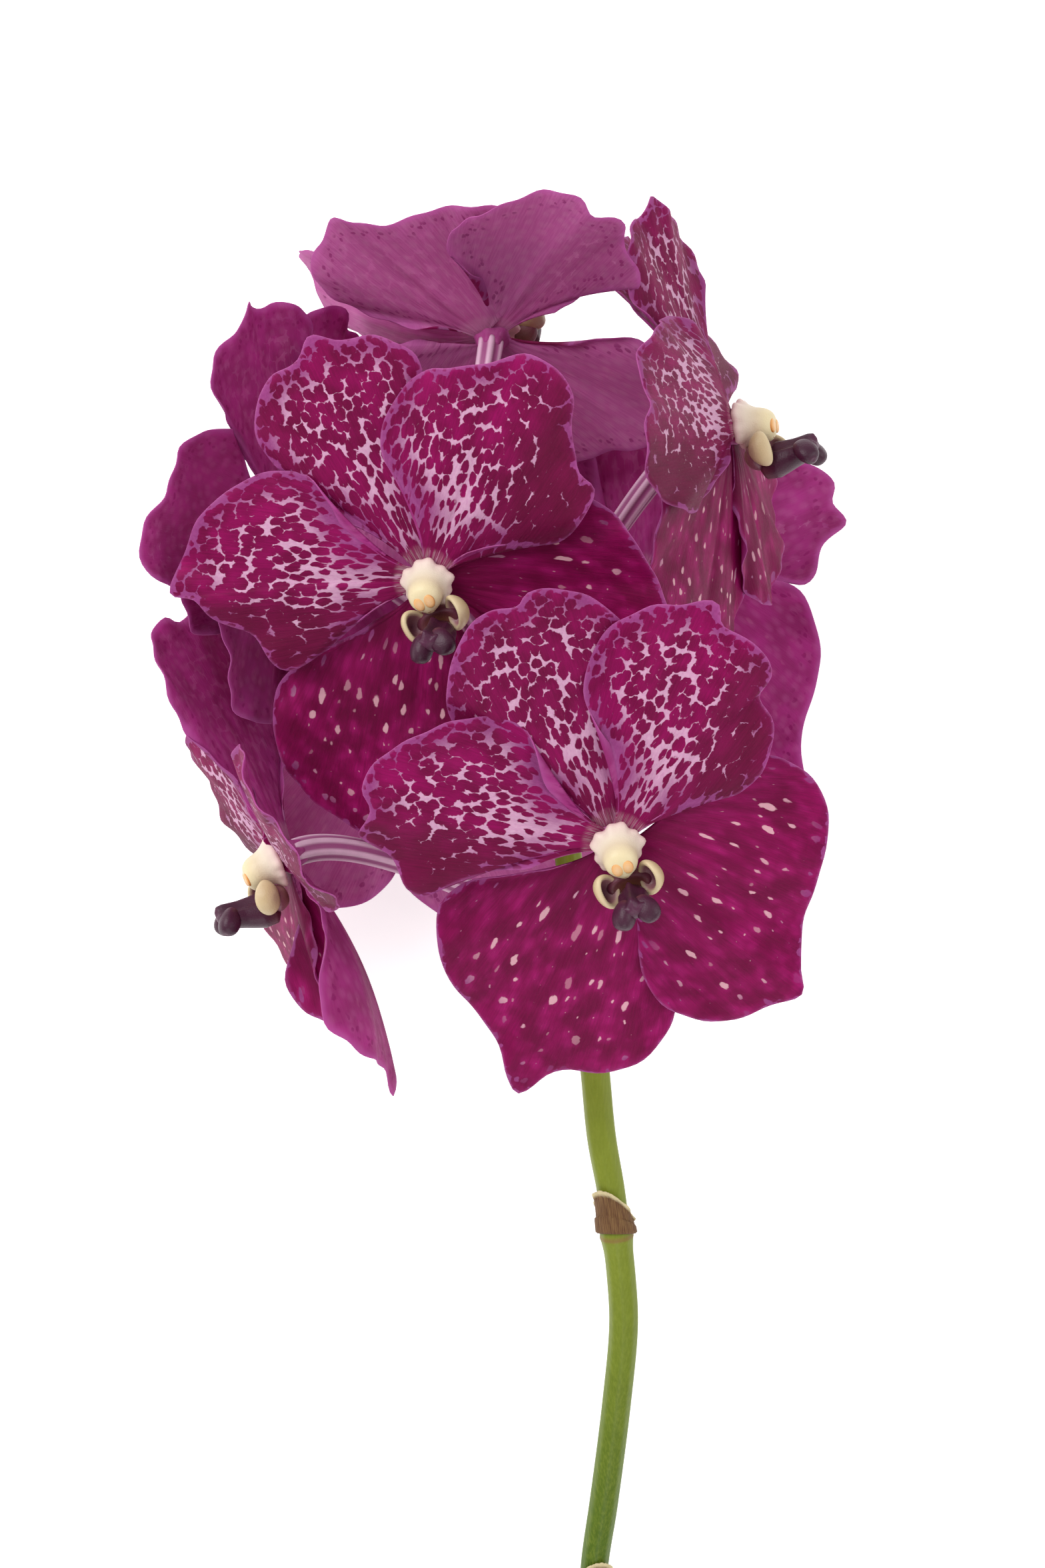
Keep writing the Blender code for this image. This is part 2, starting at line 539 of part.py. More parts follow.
def build():
    """Makes every part of the spray in one collection and sets it on the ground, centred."""
    for item in list(bpy.data.objects):
        bpy.data.objects.remove(item)
    spray = bpy.data.collections.new("vanda_orchid")
    bpy.context.scene.collection.children.link(spray)
    materials = {name: make_material(name) for name in MATERIALS}
    made = []
    for number in BLOOMS:
        label = f"bloom_{number:02d}"
        made.append((bloom_tepals(number, f"{label}_tepals", spray), "petal_magenta"))
        made.append((bloom_column(number, f"{label}_column", spray), "column_cream"))
        made.append((bloom_lip(number, f"{label}_lip", spray), "lip_purple"))
        made.append((bloom_stalk(number, f"{label}_stalk", spray), "stalk_pink"))
    made.append((stem(spray), "stem_green"))
    made.append((bract("bract_upper", UPPER_NODE_Y, 7.0, -35.0, spray), "bract_brown"))
    made.append((bract("bract_lower", LOWER_NODE_Y, 7.0, 20.0, spray), "bract_brown"))
    low = np.full(3, np.inf)
    high = np.full(3, -np.inf)
    for item, material in made:
        item.data.materials.clear()
        item.data.materials.append(materials[material])
        points = np.empty(len(item.data.vertices) * 3)
        item.data.vertices.foreach_get("co", points)
        low = np.minimum(low, points.reshape(-1, 3).min(0))
        high = np.maximum(high, points.reshape(-1, 3).max(0))
    ground = low[2] + FLAT_DEPTH * MILLIMETRE
    shift = np.array([-(low[0] + high[0]) / 2, -(low[1] + high[1]) / 2, -ground])
    for item, _ in made:
        points = np.empty(len(item.data.vertices) * 3)
        item.data.vertices.foreach_get("co", points)
        item.data.vertices.foreach_set("co", (points.reshape(-1, 3) + shift).ravel())
        if points.reshape(-1, 3)[:, 2].min() < ground:
            level(item.data)
        item.data.update()


build()
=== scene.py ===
"""Looks of a cut spray of a spotted vanda orchid.

Petals with their blotches and mauve margins, columns, lips, ribbed stalks, the green stem and its papery
bracts. Each piece repeats the form of the solid that it stands for.
"""
import math

import bmesh
import bpy
import numpy as np
from mathutils import Matrix

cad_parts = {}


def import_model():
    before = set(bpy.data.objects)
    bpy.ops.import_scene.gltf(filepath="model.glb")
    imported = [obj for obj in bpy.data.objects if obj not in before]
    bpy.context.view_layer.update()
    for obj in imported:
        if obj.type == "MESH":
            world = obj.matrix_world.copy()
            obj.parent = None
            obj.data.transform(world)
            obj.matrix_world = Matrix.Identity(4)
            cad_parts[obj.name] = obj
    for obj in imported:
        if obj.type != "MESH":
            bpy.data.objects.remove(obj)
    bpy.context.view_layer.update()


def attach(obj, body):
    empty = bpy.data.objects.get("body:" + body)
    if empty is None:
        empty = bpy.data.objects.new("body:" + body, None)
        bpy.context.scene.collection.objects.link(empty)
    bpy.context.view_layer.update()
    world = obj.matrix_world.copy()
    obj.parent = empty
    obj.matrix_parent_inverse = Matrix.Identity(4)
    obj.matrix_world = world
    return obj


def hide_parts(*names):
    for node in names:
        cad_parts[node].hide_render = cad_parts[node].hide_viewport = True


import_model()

# The plan frame of the spray, in millimetres: X to the right, Y along the stem, Z out of the front blooms.
# The rest turn and the shift lay it on the ground.
METRES_PER_MILLIMETRE = 0.001
REST_PITCH = 2.7
REST_LEAN = -4.8
GROUND_SHIFT = (3.1735, 28.2074, 47.5412)
GROUND_LIFT = 0.00002
EYE_HEIGHT = 1250.0
PHOTO_HEIGHT = 2352
PIXELS_PER_MILLIMETRE = 8.0

# Driving dimensions in millimetres, as in the solids.
BLADE_THICKNESS = 0.8
CLAW_HALF_WIDTH = 2.0
CLAW_START = 2.2
HUB_RADIUS = 3.6
HUB_HALF_THICKNESS = 1.7
LIP_DROP = 6.45
STALK_ROOT_RADIUS = 1.7
STALK_HEAD_RADIUS = 2.4
STEM_RADIUS = 2.75
RACHIS_TOP_RADIUS = 1.7
NODE_SWELLING = 0.35
CUT_END_Y = -165.5
UPPER_NODE_Y = -85.1
LOWER_NODE_Y = -158.0
BRACT_THICKNESS = 0.7
JOINT_GAP = 0.35

# How many waves and ripples run across a blade from side to side, with the heights of the ripples and the
# depth of the groove along the midrib, in millimetres.
RIM_WAVES = 4.5
RIM_RIPPLES = 13
RIM_RIPPLE_HEIGHT = 0.35
INNER_WAVES = 9
INNER_WAVE_HEIGHT = 0.25
MIDRIB_DEPTH = 0.35

# Margins of the blades in millimetres, along the midrib and across it, from the claw's right side round
# the tip.
MARGINS = {
    "dorsal_a": [(8, -4.5), (20, -9), (36, -14), (43, -10), (47, -4.5), (48.5, 0.5), (46.5, 3), (47, 8),
                 (43.5, 14), (37, 19), (30, 21), (22, 18), (9, 6)],
    "dorsal_b": [(8, -4), (20, -9), (30, -14.5), (37, -15.5), (42.5, -10), (44.5, -3), (47.5, 0.5),
                 (44, 5), (42.5, 12), (37, 17.5), (30, 18.5), (20, 14), (9, 6)],
    "petal_right_a": [(7, -4.5), (11, -7.5), (16, -14.5), (22.5, -16.5), (32, -14), (35, -9.5), (41, -9),
                      (45, -4), (45, 3), (48, 5.5), (45, 11), (42, 16), (34.5, 20), (30, 20.5), (21, 18.5),
                      (13, 8), (6, 3.5)],
    "petal_right_b": [(7, -5), (10.5, -9.5), (15, -19), (21, -21.5), (28, -21.5), (30, -17.5), (38, -13.5),
                      (45, -11.5), (47.5, -3), (42, 5), (39, 10), (36, 14), (29.5, 17.5), (18.5, 17.5),
                      (10, 6)],
    "petal_left_a": [(7, -4), (13, -7.5), (19.5, -17), (27, -17.5), (34, -15.5), (40, -10.5), (45, -4.5),
                     (46, -0.5), (43.5, 3), (44, 8.5), (37, 11.5), (33, 16.5), (29.5, 17.5), (24, 13),
                     (12, 7.5)],
    "petal_left_b": [(7, -4), (12.5, -8.5), (19, -18.5), (25.5, -19.5), (33, -17), (40, -11), (42.5, -5),
                     (45.5, 3), (41, 4), (38, 8), (31, 11), (25.5, 17.5), (19, 15), (10, 7)],
    "petal_left_c": [(3, -9), (6, -17.5), (13, -20), (22, -18.5), (31, -15.5), (41.5, -8.5), (42, -2.5),
                     (47.5, 4), (45.5, 11.5), (40, 16.5), (27, 18.5), (15, 12.5), (6, 5)],
    "sepal_left_a": [(6, -8), (14.5, -20.5), (20.5, -24.5), (25, -24), (33.5, -19), (44.5, -4), (50, 0),
                     (53, 3.5), (48, 7), (46, 10.5), (43, 18.5), (34.5, 24), (26.5, 24), (15, 16), (6, 7)],
    "sepal_left_b": [(8, -9), (19.5, -22.5), (26, -26.5), (34, -26), (41, -23.5), (47.5, -18), (51, -9),
                     (52, -4), (49.5, 2), (45.5, 8), (39, 13), (30, 17), (20, 15), (8, 8)],
    "sepal_right_a": [(7, -6), (14, -14), (20.5, -19.5), (29, -21), (38.5, -17), (41, -11), (44.5, -4),
                      (41.5, -0.5), (36, 7), (31.5, 17), (25.5, 27), (18, 30.5), (10, 30), (4.5, 24),
                      (2, 12)],
    "sepal_right_b": [(8, -6.5), (18, -12), (28, -14), (36, -11), (41, -4), (42.5, 1), (40, 6), (35, 13),
                      (30, 18.5), (23, 21), (15, 18), (6, 9)],
}

# Each bloom: where its blades meet, the way it faces (turn to the right, rise), its roll, where its stalk
# leaves the rachis, then its five blades: the dorsal sepal, the right and left petals, and the left and right
# lower sepals. A blade is its margin, its angle round the bloom, its tilt forward, its roll about the midrib,
# its height, its scale, its bend along the midrib and its cup across it.
BLOOMS = {
    1: ((-16.9, 37.3, 38), (-10, -25), 20, -2, (
        ("dorsal_b", 92, -4, 0, -0.8, 1.0, -0.03, -0.08),
        ("petal_right_b", 46, 4, -8, 0.6, 1.0, -0.03, -0.12),
        ("petal_left_b", 158, 4, 8, 0.2, 1.0, -0.03, -0.1),
        ("sepal_left_b", 240, 0, 0, -0.2, 1.0, -0.03, -0.05),
        ("sepal_right_b", 326, -6, 0, 0.0, 1.0, 0.08, -0.05))),
    2: ((17.0, -10.4, 44), (5, -27), 20, -38, (
        ("dorsal_a", 90, -4, 0, -0.8, 1.0, -0.03, -0.08),
        ("petal_right_a", 46, 4, -8, 0.6, 1.0, -0.03, -0.12),
        ("petal_left_a", 146, 4, 8, 0.2, 1.0, -0.03, -0.1),
        ("sepal_left_a", 230, 0, 0, -0.2, 1.0, -0.03, -0.05),
        ("sepal_right_a", 304, 2, 0, 0.0, 1.0, -0.03, -0.05))),
    3: ((39.1, 66.8, 4), (68, 8), 0, 30, (
        ("dorsal_b", 94, -15, -4, -0.8, 0.91, 0.1, -0.08),
        ("petal_right_a", 64, -19, -14, -1.4, 0.92, -0.05, -0.12),
        ("petal_left_c", 178, 2, 4, 1.2, 1.0, -0.05, -0.12),
        ("sepal_left_b", 250, -6, 0, -0.4, 0.96, -0.03, -0.05),
        ("sepal_right_b", 300, -3, 0, 0.0, 0.83, -0.03, -0.05))),
    4: ((-44.0, -13.5, 10), (-80, -22), 0, -27, (
        ("dorsal_a", 90, 4, -40, -0.8, 0.98, 0.05, -0.1),
        ("petal_right_a", 8, 9, 12, 0.6, 0.92, -0.06, -0.2),
        ("petal_left_b", 150, 8, 0, 0.3, 0.95, -0.05, -0.12),
        ("sepal_left_b", 215, 5, 0, -0.2, 0.9, -0.03, -0.05),
        ("sepal_left_a", 278, -20, 0, 0.0, 0.83, 0.35, 0.6))),
    5: ((-5.8, 84.3, -6), (172, 48), -40, 58, (
        ("sepal_right_a", 93, 0, 0, -0.8, 0.84, 0.05, 0.1),
        ("petal_right_a", 28, 8, 0, 0.6, 0.85, 0.45, -0.1),
        ("petal_left_a", 158, -8, 0, 0.5, 1.0, -0.03, -0.1),
        ("sepal_right_a", 258, -5, 0, -0.2, 0.88, -0.05, -0.05),
        ("sepal_right_a", 322, 0, 0, 0.0, 0.8, -0.03, -0.05))),
    6: ((-45.1, 47.2, -6), (-122, 5), -25, 20, (
        ("dorsal_b", 88, 0, 0, -0.8, 0.95, -0.03, -0.08),
        ("petal_right_b", 28, 0, 0, 0.6, 0.95, -0.05, -0.1),
        ("petal_left_a", 136, 4, 0, 0.3, 0.95, -0.05, -0.1),
        ("sepal_left_a", 266, -26, 0, -0.2, 0.9, -0.03, -0.05),
        ("sepal_right_b", 330, -12, 0, 0.0, 0.95, -0.03, -0.05))),
    7: ((22.5, 38.0, -34), (165, 0), 0, 8, (
        ("dorsal_a", 86, 0, 0, -0.8, 0.92, -0.03, -0.08),
        ("petal_right_a", 34, -8, 0, 0.3, 0.92, -0.05, -0.1),
        ("petal_left_a", 150, 5, 0, 0.4, 0.85, 0.4, -0.1),
        ("sepal_left_a", 228, 0, 0, -0.2, 0.94, -0.03, -0.05),
        ("sepal_right_b", 306, 2, 0, 0.0, 0.92, -0.03, -0.05))),
    8: ((-22.0, 14.0, -28), (-170, 0), 0, -12, (
        ("dorsal_a", 92, 6, 0, -0.8, 0.88, -0.03, -0.08),
        ("petal_right_a", 32, 8, 0, 0.3, 0.97, 0.38, -0.1),
        ("petal_left_a", 152, -8, 0, 0.6, 0.9, -0.03, -0.1),
        ("sepal_left_b", 244, 0, 0, -0.2, 0.9, -0.03, -0.05),
        ("sepal_right_b", 300, 0, 0, 0.0, 0.95, -0.03, -0.05))),
}

# The stem's centre line in millimetres, from the cut end to the top of the rachis.
STEM_LINE = [
    (13.5, CUT_END_Y, -39.0), (13.8, -151.0, -33.0), (15.6, -137.5, -27.5), (17.9, -118.2, -20.0),
    (19.2, -102.4, -14.5), (18.7, -93.0, -11.5), (17.8, UPPER_NODE_Y, -9.0), (16.7, -76.6, -6.5),
    (14.9, -66.4, -4.5), (13.6, -53.2, -3.0), (12.0, -39.0, -2.5), (9.3, -19.0, -3.0), (7.3, -3.0, -4.0),
    (4.8, 16.0, -6.0), (2.0, 34.5, -8.0), (-0.8, 52.0, -8.0), (-2.0, 61.0, -7.0),
]

# Places of three of the blades in a bloom's row, the blooms whose backs are pale and lit, and the share of
# painted shade, deep magenta, on their backs and on the backs of the other blooms.
DORSAL = 0
PETAL_RIGHT = 1
PETAL_LEFT = 2
LIT_BACKED_BLOOMS = (5, 8)
LIT_BACK_PAINTED_SHADE = 0.05
DARK_BACK_PAINTED_SHADE = 0.85

# How finely the pieces are divided: along the petals, stalks and stem, and round them.
PETAL_ROWS = 30
PETAL_STEPS = 84
STALK_STEPS = 70
STALK_COLUMNS = 48
STEM_STEPS = 240
STEM_COLUMNS = 64

# Colours of the petals, as linear red, green and blue: the dark ground, the light lines, the claw, and the
# back where lit and in painted shade.
CRIMSON = (0.17, 0.002, 0.052)
BRIGHT_CRIMSON = (0.30, 0.003, 0.105)
BROWN_CRIMSON = (0.125, 0.006, 0.036)
SPOT_HALO = (0.42, 0.012, 0.17)
DULL_PINK = (0.60, 0.25, 0.48)
WHITE_PINK = (0.86, 0.58, 0.74)
CREAM_PINK = (0.84, 0.48, 0.50)
DARK_MAUVE = (0.23, 0.028, 0.155)
MAUVE = (0.42, 0.095, 0.31)
# A thin rim colour: partly the blade's own mauve rim, partly painted glow of light through the edge.
RIM_MAUVE_AND_PAINTED_GLOW = (0.44, 0.12, 0.34)
CLAW_PINK = (0.86, 0.62, 0.66)
CLAW_VEIN = (0.42, 0.03, 0.16)
MILKY_MAUVE = (0.54, 0.125, 0.37)
MILKY_PINK = (0.66, 0.19, 0.48)
MILKY_SPOT = (0.70, 0.32, 0.54)
# Painted shade: deep magenta copies of the back's colours, for backs turned from the light.
PAINTED_SHADE_MAGENTA = (0.28, 0.010, 0.13)
PAINTED_SHADE_MAUVE = (0.44, 0.026, 0.25)
PAINTED_SHADE_SPOT = (0.50, 0.10, 0.32)
BACK_RIM = (0.46, 0.10, 0.34)
BACK_SPECK = (0.22, 0.004, 0.11)
BACK_CLAW = (0.72, 0.42, 0.58)
GLOW_MAGENTA = (0.75, 0.04, 0.42)
GLOW_RIM = (0.85, 0.25, 0.70)

# Colours of the fleshy parts, each at its share of the way along the profile.
COLUMN_COLOURS = [
    (0.0, (0.76, 0.48, 0.50)), (0.12, (0.84, 0.68, 0.60)), (0.34, (0.86, 0.75, 0.60)),
    (1.0, (0.86, 0.74, 0.46))]
POLLEN_COLOURS = [
    (0.0, (0.36, 0.10, 0.02)), (0.5, (0.62, 0.20, 0.03)), (0.62, (0.84, 0.45, 0.17)),
    (1.0, (0.88, 0.58, 0.32))]
CUP_COLOURS = [
    (0.0, (0.50, 0.34, 0.22)), (0.3, (0.60, 0.45, 0.25)), (0.6, (0.72, 0.58, 0.36)),
    (0.7, (0.34, 0.15, 0.17)), (1.0, (0.15, 0.035, 0.07))]
THROAT_COLOURS = [
    (0.0, (0.30, 0.16, 0.10)), (0.45, (0.20, 0.06, 0.08)), (0.7, (0.13, 0.025, 0.05)),
    (1.0, (0.20, 0.07, 0.03))]
TONGUE_COLOURS = [
    (0.0, (0.12, 0.03, 0.04)), (0.3, (0.06, 0.008, 0.03)), (0.85, (0.045, 0.009, 0.026)),
    (1.0, (0.08, 0.014, 0.045))]

# The studio: the floor's half width in metres, its glow, the sky's strength, and each lamp's name, place in
# metres, width and power, with the place that the lamps point at.
FLOOR_HALF_WIDTH = 3.0
FLOOR_GLOW = 0.5
SKY_STRENGTH = 0.55
LAMPS = [
    ("key", (-0.75, 0.55, 0.85), 0.9, 12.0),
    ("fill", (0.9, 0.1, 0.8), 0.9, 5.0),
    ("foot", (0.0, -1.0, 0.7), 0.8, 4.0),
]
LAMP_AIM = (0.0, 0.0, 0.05)


def unit(vector):
    """The vector with length one."""
    return np.asarray(vector, float) / np.linalg.norm(vector)


def rest_turn():
    """The turn by the rest pitch about X, then the rest lean about Y."""
    pitch, lean = math.radians(REST_PITCH), math.radians(REST_LEAN)
    cp, sp, cl, sl = math.cos(pitch), math.sin(pitch), math.cos(lean), math.sin(lean)
    return np.array([[cl, 0, sl], [0, 1, 0], [-sl, 0, cl]]) @ np.array([[1, 0, 0], [0, cp, -sp], [0, sp, cp]])


def world(points):
    """Plan millimetres as metres in the model's frame: turned, shifted and kept above the ground."""
    placed = np.asarray(points, float).reshape(-1, 3) @ rest_turn().T + np.array(GROUND_SHIFT)
    placed = placed * METRES_PER_MILLIMETRE
    placed[:, 2] = np.maximum(placed[:, 2], GROUND_LIFT)
    return placed


def bloom_axes(facing, roll):
    """Right, up and facing directions of a bloom from its turn, rise and roll in degrees."""
    turn, rise, spin = np.radians([facing[0], facing[1], roll])
    front = np.array([math.sin(turn) * math.cos(rise), math.sin(rise), math.cos(turn) * math.cos(rise)])
    up = unit(np.array([0.0, 1.0, 0.0]) - front[1] * front)
    side = np.cross(up, front)
    up = math.cos(spin) * up - math.sin(spin) * side
    return np.cross(up, front), up, front


def bloom_place(number):
    """The middle of a bloom, and its right, up and facing directions."""
    centre, facing, roll, _, _ = BLOOMS[number]
    return (np.array(centre, float), *bloom_axes(facing, roll))


def blade_axes(axes, angle, tilt, roll):
    """Directions along a blade, across it and out of its front."""
    right, up, front = axes
    around, lift, spin = np.radians([angle, tilt, roll])
    out = math.cos(around) * right + math.sin(around) * up
    along = math.cos(lift) * out + math.sin(lift) * front
    level = np.cross(front, out)
    across = math.cos(spin) * level + math.sin(spin) * np.cross(along, level)
    return along, across, np.cross(along, across)


def smooth_line(points, steps):
    """A Catmull-Rom line through the points, as steps + 1 points evenly spaced along it.

    Its knots are as far apart as the square root of the distance between the points.
    """
    knots = np.asarray(points, float)
    knots = np.vstack([2 * knots[0] - knots[1], knots, 2 * knots[-1] - knots[-2]])
    spans = np.linalg.norm(np.diff(knots, axis=0), axis=1) ** 0.5
    at = np.concatenate([[0.0], np.cumsum(spans)])
    runs = []
    for i in range(1, len(knots) - 2):
        t = np.linspace(at[i], at[i + 1], 24, endpoint=False)[:, None]
        a = ((at[i] - t) * knots[i - 1] + (t - at[i - 1]) * knots[i]) / (at[i] - at[i - 1])
        b = ((at[i + 1] - t) * knots[i] + (t - at[i]) * knots[i + 1]) / (at[i + 1] - at[i])
        c = ((at[i + 2] - t) * knots[i + 1] + (t - at[i + 1]) * knots[i + 2]) / (at[i + 2] - at[i + 1])
        d = ((at[i + 1] - t) * a + (t - at[i - 1]) * b) / (at[i + 1] - at[i - 1])
        e = ((at[i + 2] - t) * b + (t - at[i]) * c) / (at[i + 2] - at[i])
        runs.append(((at[i + 1] - t) * d + (t - at[i]) * e) / (at[i + 1] - at[i]))
    line = np.vstack(runs + [knots[-2:-1]])
    length = np.concatenate([[0.0], np.cumsum(np.linalg.norm(np.diff(line, axis=0), axis=1))])
    places = np.linspace(0, length[-1], steps + 1)
    return np.stack([np.interp(places, length, line[:, k]) for k in range(line.shape[1])], -1)


def rise(value, low, high):
    """A smooth step from 0 at low to 1 at high."""
    t = np.clip((value - low) / (high - low), 0, 1)
    return t * t * (3 - 2 * t)


class Shell:
    """Gathers the points, faces and marks of the closed shells of one piece."""

    def __init__(self):
        self.points = []
        self.faces = []
        self.slots = []
        self.marks = []
        self.count = 0

    def add(self, points, faces, marks, slot=0):
        """Adds a shell: its points in plan millimetres, its faces and a row of marks for each point."""
        points = np.asarray(points, float).reshape(-1, 3)
        self.points.append(points)
        self.faces += [tuple(int(k) + self.count for k in face) for face in faces]
        self.slots += [slot] * len(faces)
        self.marks.append(np.asarray(marks, float).reshape(len(points), -1))
        self.count += len(points)

    def object(self, name, names, materials):
        """The finished mesh object. The marks become point attributes, three numbers for each name."""
        mesh = bpy.data.meshes.new(name)
        mesh.from_pydata(world(np.vstack(self.points)).tolist(), [], self.faces)
        mesh.polygons.foreach_set("use_smooth", [True] * len(mesh.polygons))
        for material in materials:
            mesh.materials.append(material)
        mesh.polygons.foreach_set("material_index", self.slots)
        turned = bmesh.new()
        turned.from_mesh(mesh)
        bmesh.ops.recalc_face_normals(turned, faces=turned.faces)
        turned.to_mesh(mesh)
        turned.free()
        marks = np.vstack(self.marks)
        for index, label in enumerate(names):
            layer = mesh.attributes.new(label, "FLOAT_VECTOR", "POINT")
            layer.data.foreach_set("vector", np.ascontiguousarray(marks[:, 3 * index:3 * index + 3]).ravel())
        mesh.update()
        item = bpy.data.objects.new(name, mesh)
        bpy.context.scene.collection.objects.link(item)
        return item


def grid_faces(rows, columns, closed=False):
    """Four-cornered faces over a grid of points, joined round the columns when closed."""
    i, j = np.meshgrid(np.arange(rows - 1), np.arange(columns if closed else columns - 1), indexing="ij")
    k = (j + 1) % columns
    faces = np.stack([i * columns + j, i * columns + k, (i + 1) * columns + k, (i + 1) * columns + j], -1)
    return faces.reshape(-1, 4).tolist()


def sheet_shell(middle, thickness, marks, back_marks):
    """A thin closed shell: its middle surface moved half a thickness to each side, joined by a rounded rim.

    The rim's crest lies in the middle surface, half a thickness outside the border.
    """
    rows, columns = middle.shape[:2]
    down = np.gradient(middle, axis=0)
    side = np.gradient(middle, axis=1)
    normal = np.cross(down, side)
    normal /= np.maximum(np.linalg.norm(normal, axis=-1, keepdims=True), 1e-9)
    half = thickness[..., None] / 2
    index = np.arange(rows * columns).reshape(rows, columns)
    loop = np.concatenate([index[0, :-1], index[:-1, -1], index[-1, :0:-1], index[:0:-1, 0]])
    border = middle.reshape(-1, 3)[loop]
    along = np.roll(border, -1, axis=0) - np.roll(border, 1, axis=0)
    outward = np.cross(along, normal.reshape(-1, 3)[loop])
    outward /= np.maximum(np.linalg.norm(outward, axis=-1, keepdims=True), 1e-9)
    inside = border - middle.reshape(-1, 3).mean(0)
    if np.mean(np.sum(outward * inside, axis=-1)) < 0:
        outward = -outward
    crest = border + outward * half.reshape(-1, 1)[loop]
    upper = (middle + normal * half).reshape(-1, 3)
    lower = (middle - normal * half).reshape(-1, 3)
    points = np.vstack([upper, lower, crest])
    total = rows * columns
    faces = grid_faces(rows, columns)
    faces = faces + [tuple(total + k for k in reversed(face)) for face in faces]
    ring = np.arange(len(loop))
    after = np.roll(ring, -1)
    for start, rim in ((loop, 2 * total + ring), (2 * total + ring, total + loop)):
        strip = np.stack([start, np.asarray(start)[after], np.asarray(rim)[after], rim], -1)
        faces = faces + strip.tolist()
    marks = marks.reshape(total, -1)
    back_marks = back_marks.reshape(total, -1)
    rim_marks = (marks[loop] + back_marks[loop]) / 2
    return points, faces, np.vstack([marks, back_marks, rim_marks])


def ring_shell(rings, marks):
    """A closed shell over rings of points, with a fan of triangles to the middle of each end."""
    rows, columns = rings.shape[:2]
    points = np.vstack([rings.reshape(-1, 3), rings[0].mean(0), rings[-1].mean(0)])
    faces = grid_faces(rows, columns, closed=True)
    first, last, last_ring = rows * columns, rows * columns + 1, (rows - 1) * columns
    k = np.arange(columns)
    after = np.roll(k, -1)
    faces += np.stack([0 * k + first, after, k], -1).tolist()
    faces += np.stack([0 * k + last, last_ring + k, last_ring + after], -1).tolist()
    marks = marks.reshape(rows * columns, -1)
    return points, faces, np.vstack([marks, marks[:columns].mean(0), marks[-columns:].mean(0)])


def turned_shell(centre, axes, profile, columns, wave=0.0, lobes=0, stretch=(1.0, 1.0)):
    """A profile of distances and heights turned round the first axis, its distance waved by lobes round it.

    The marks are the share along the profile, the sine and the cosine of the turn.
    """
    heights, sides = profile[:, 1:2], profile[:, 0:1]
    turn = np.linspace(0, 2 * math.pi, columns, endpoint=False)[None, :]
    distance = sides * (1 + wave * np.cos(lobes * turn))
    axis, first, second = (np.asarray(way, float) for way in axes)
    rings = (np.asarray(centre, float) + (heights + 0 * turn)[..., None] * axis
             + (distance * np.cos(turn) * stretch[0])[..., None] * first
             + (distance * np.sin(turn) * stretch[1])[..., None] * second)
    share = np.linspace(0, 1, len(profile))[:, None] + 0 * turn
    marks = np.stack([share, np.sin(turn) + 0 * share, np.cos(turn) + 0 * share], -1)
    return ring_shell(rings, marks)


def tube_rings(line, radii, columns, ribs, depth, twist):
    """Rings of a tube along a line, and the height of the ribs at their points, from -1 to 1.

    The radius is multiplied by 1 plus the depth times the cosine of the turn times the number of ribs, with
    the twist added bit by bit along the line.
    """
    line = np.asarray(line, float)
    along = np.gradient(line, axis=0)
    along /= np.linalg.norm(along, axis=1, keepdims=True)
    first = unit(np.array([0.0, 0.0, 1.0]) - along[0, 2] * along[0])
    turn = np.linspace(0, 2 * math.pi, columns, endpoint=False)[:, None]
    rings = []
    ridge = []
    for index, (place, way, radius) in enumerate(zip(line, along, radii)):
        first = unit(first - np.dot(first, way) * way)
        second = np.cross(way, first)
        crest = np.cos(ribs * turn + twist * index / len(line))
        rings.append(place + radius * (1 + depth * crest) * (np.cos(turn) * first + np.sin(turn) * second))
        ridge.append(crest[:, 0])
    return np.array(rings), np.array(ridge)


def give(tree, node, inputs):
    """Gives a node's inputs their values or links. A colour is three numbers."""
    for key, value in inputs.items():
        if isinstance(value, bpy.types.NodeSocket):
            tree.links.new(value, node.inputs[key])
        elif node.inputs[key].type == "RGBA":
            node.inputs[key].default_value = (*value, 1.0)
        else:
            node.inputs[key].default_value = value
    return node


def add_node(tree, kind, inputs=None, **settings):
    """Adds a shader node with its settings and inputs."""
    made = tree.nodes.new("ShaderNode" + kind)
    for key, value in settings.items():
        setattr(made, key, value)
    return give(tree, made, inputs or {})


def calc(tree, operation, first, second):
    """The result of a Math node."""
    return add_node(tree, "Math", {0: first, 1: second}, operation=operation).outputs[0]


def times(tree, first, second):
    """The product of two values."""
    return calc(tree, "MULTIPLY", first, second)


def plus(tree, first, second):
    """The sum of two values."""
    return calc(tree, "ADD", first, second)


def minus(tree, first, second):
    """The first value less the second."""
    return calc(tree, "SUBTRACT", first, second)


def stirred(tree, value, cloud, amount):
    """A value moved up and down by an amount of a cloud, which is 0.5 on average."""
    return plus(tree, value, times(tree, minus(tree, cloud, 0.5), amount))


def vector_calc(tree, operation, first, second):
    """The result of a Vector Math node."""
    return add_node(tree, "VectorMath", {0: first, 1: second}, operation=operation).outputs[0]


def step_up(tree, value, low, high, bottom=0.0, top=1.0):
    """A smooth step of a value from bottom at low to top at high."""
    inputs = {"Value": value, "From Min": low, "From Max": high, "To Min": bottom, "To Max": top}
    return add_node(tree, "MapRange", inputs, interpolation_type="SMOOTHSTEP").outputs[0]


def step_down(tree, value, low, high, top=1.0):
    """A smooth step of a value from top at low to 0 at high."""
    return step_up(tree, value, low, high, top, 0.0)


def mixed(tree, share, first, second):
    """The colour between two colours by a share."""
    return add_node(tree, "Mix", {0: share, 6: first, 7: second}, data_type="RGBA").outputs[2]


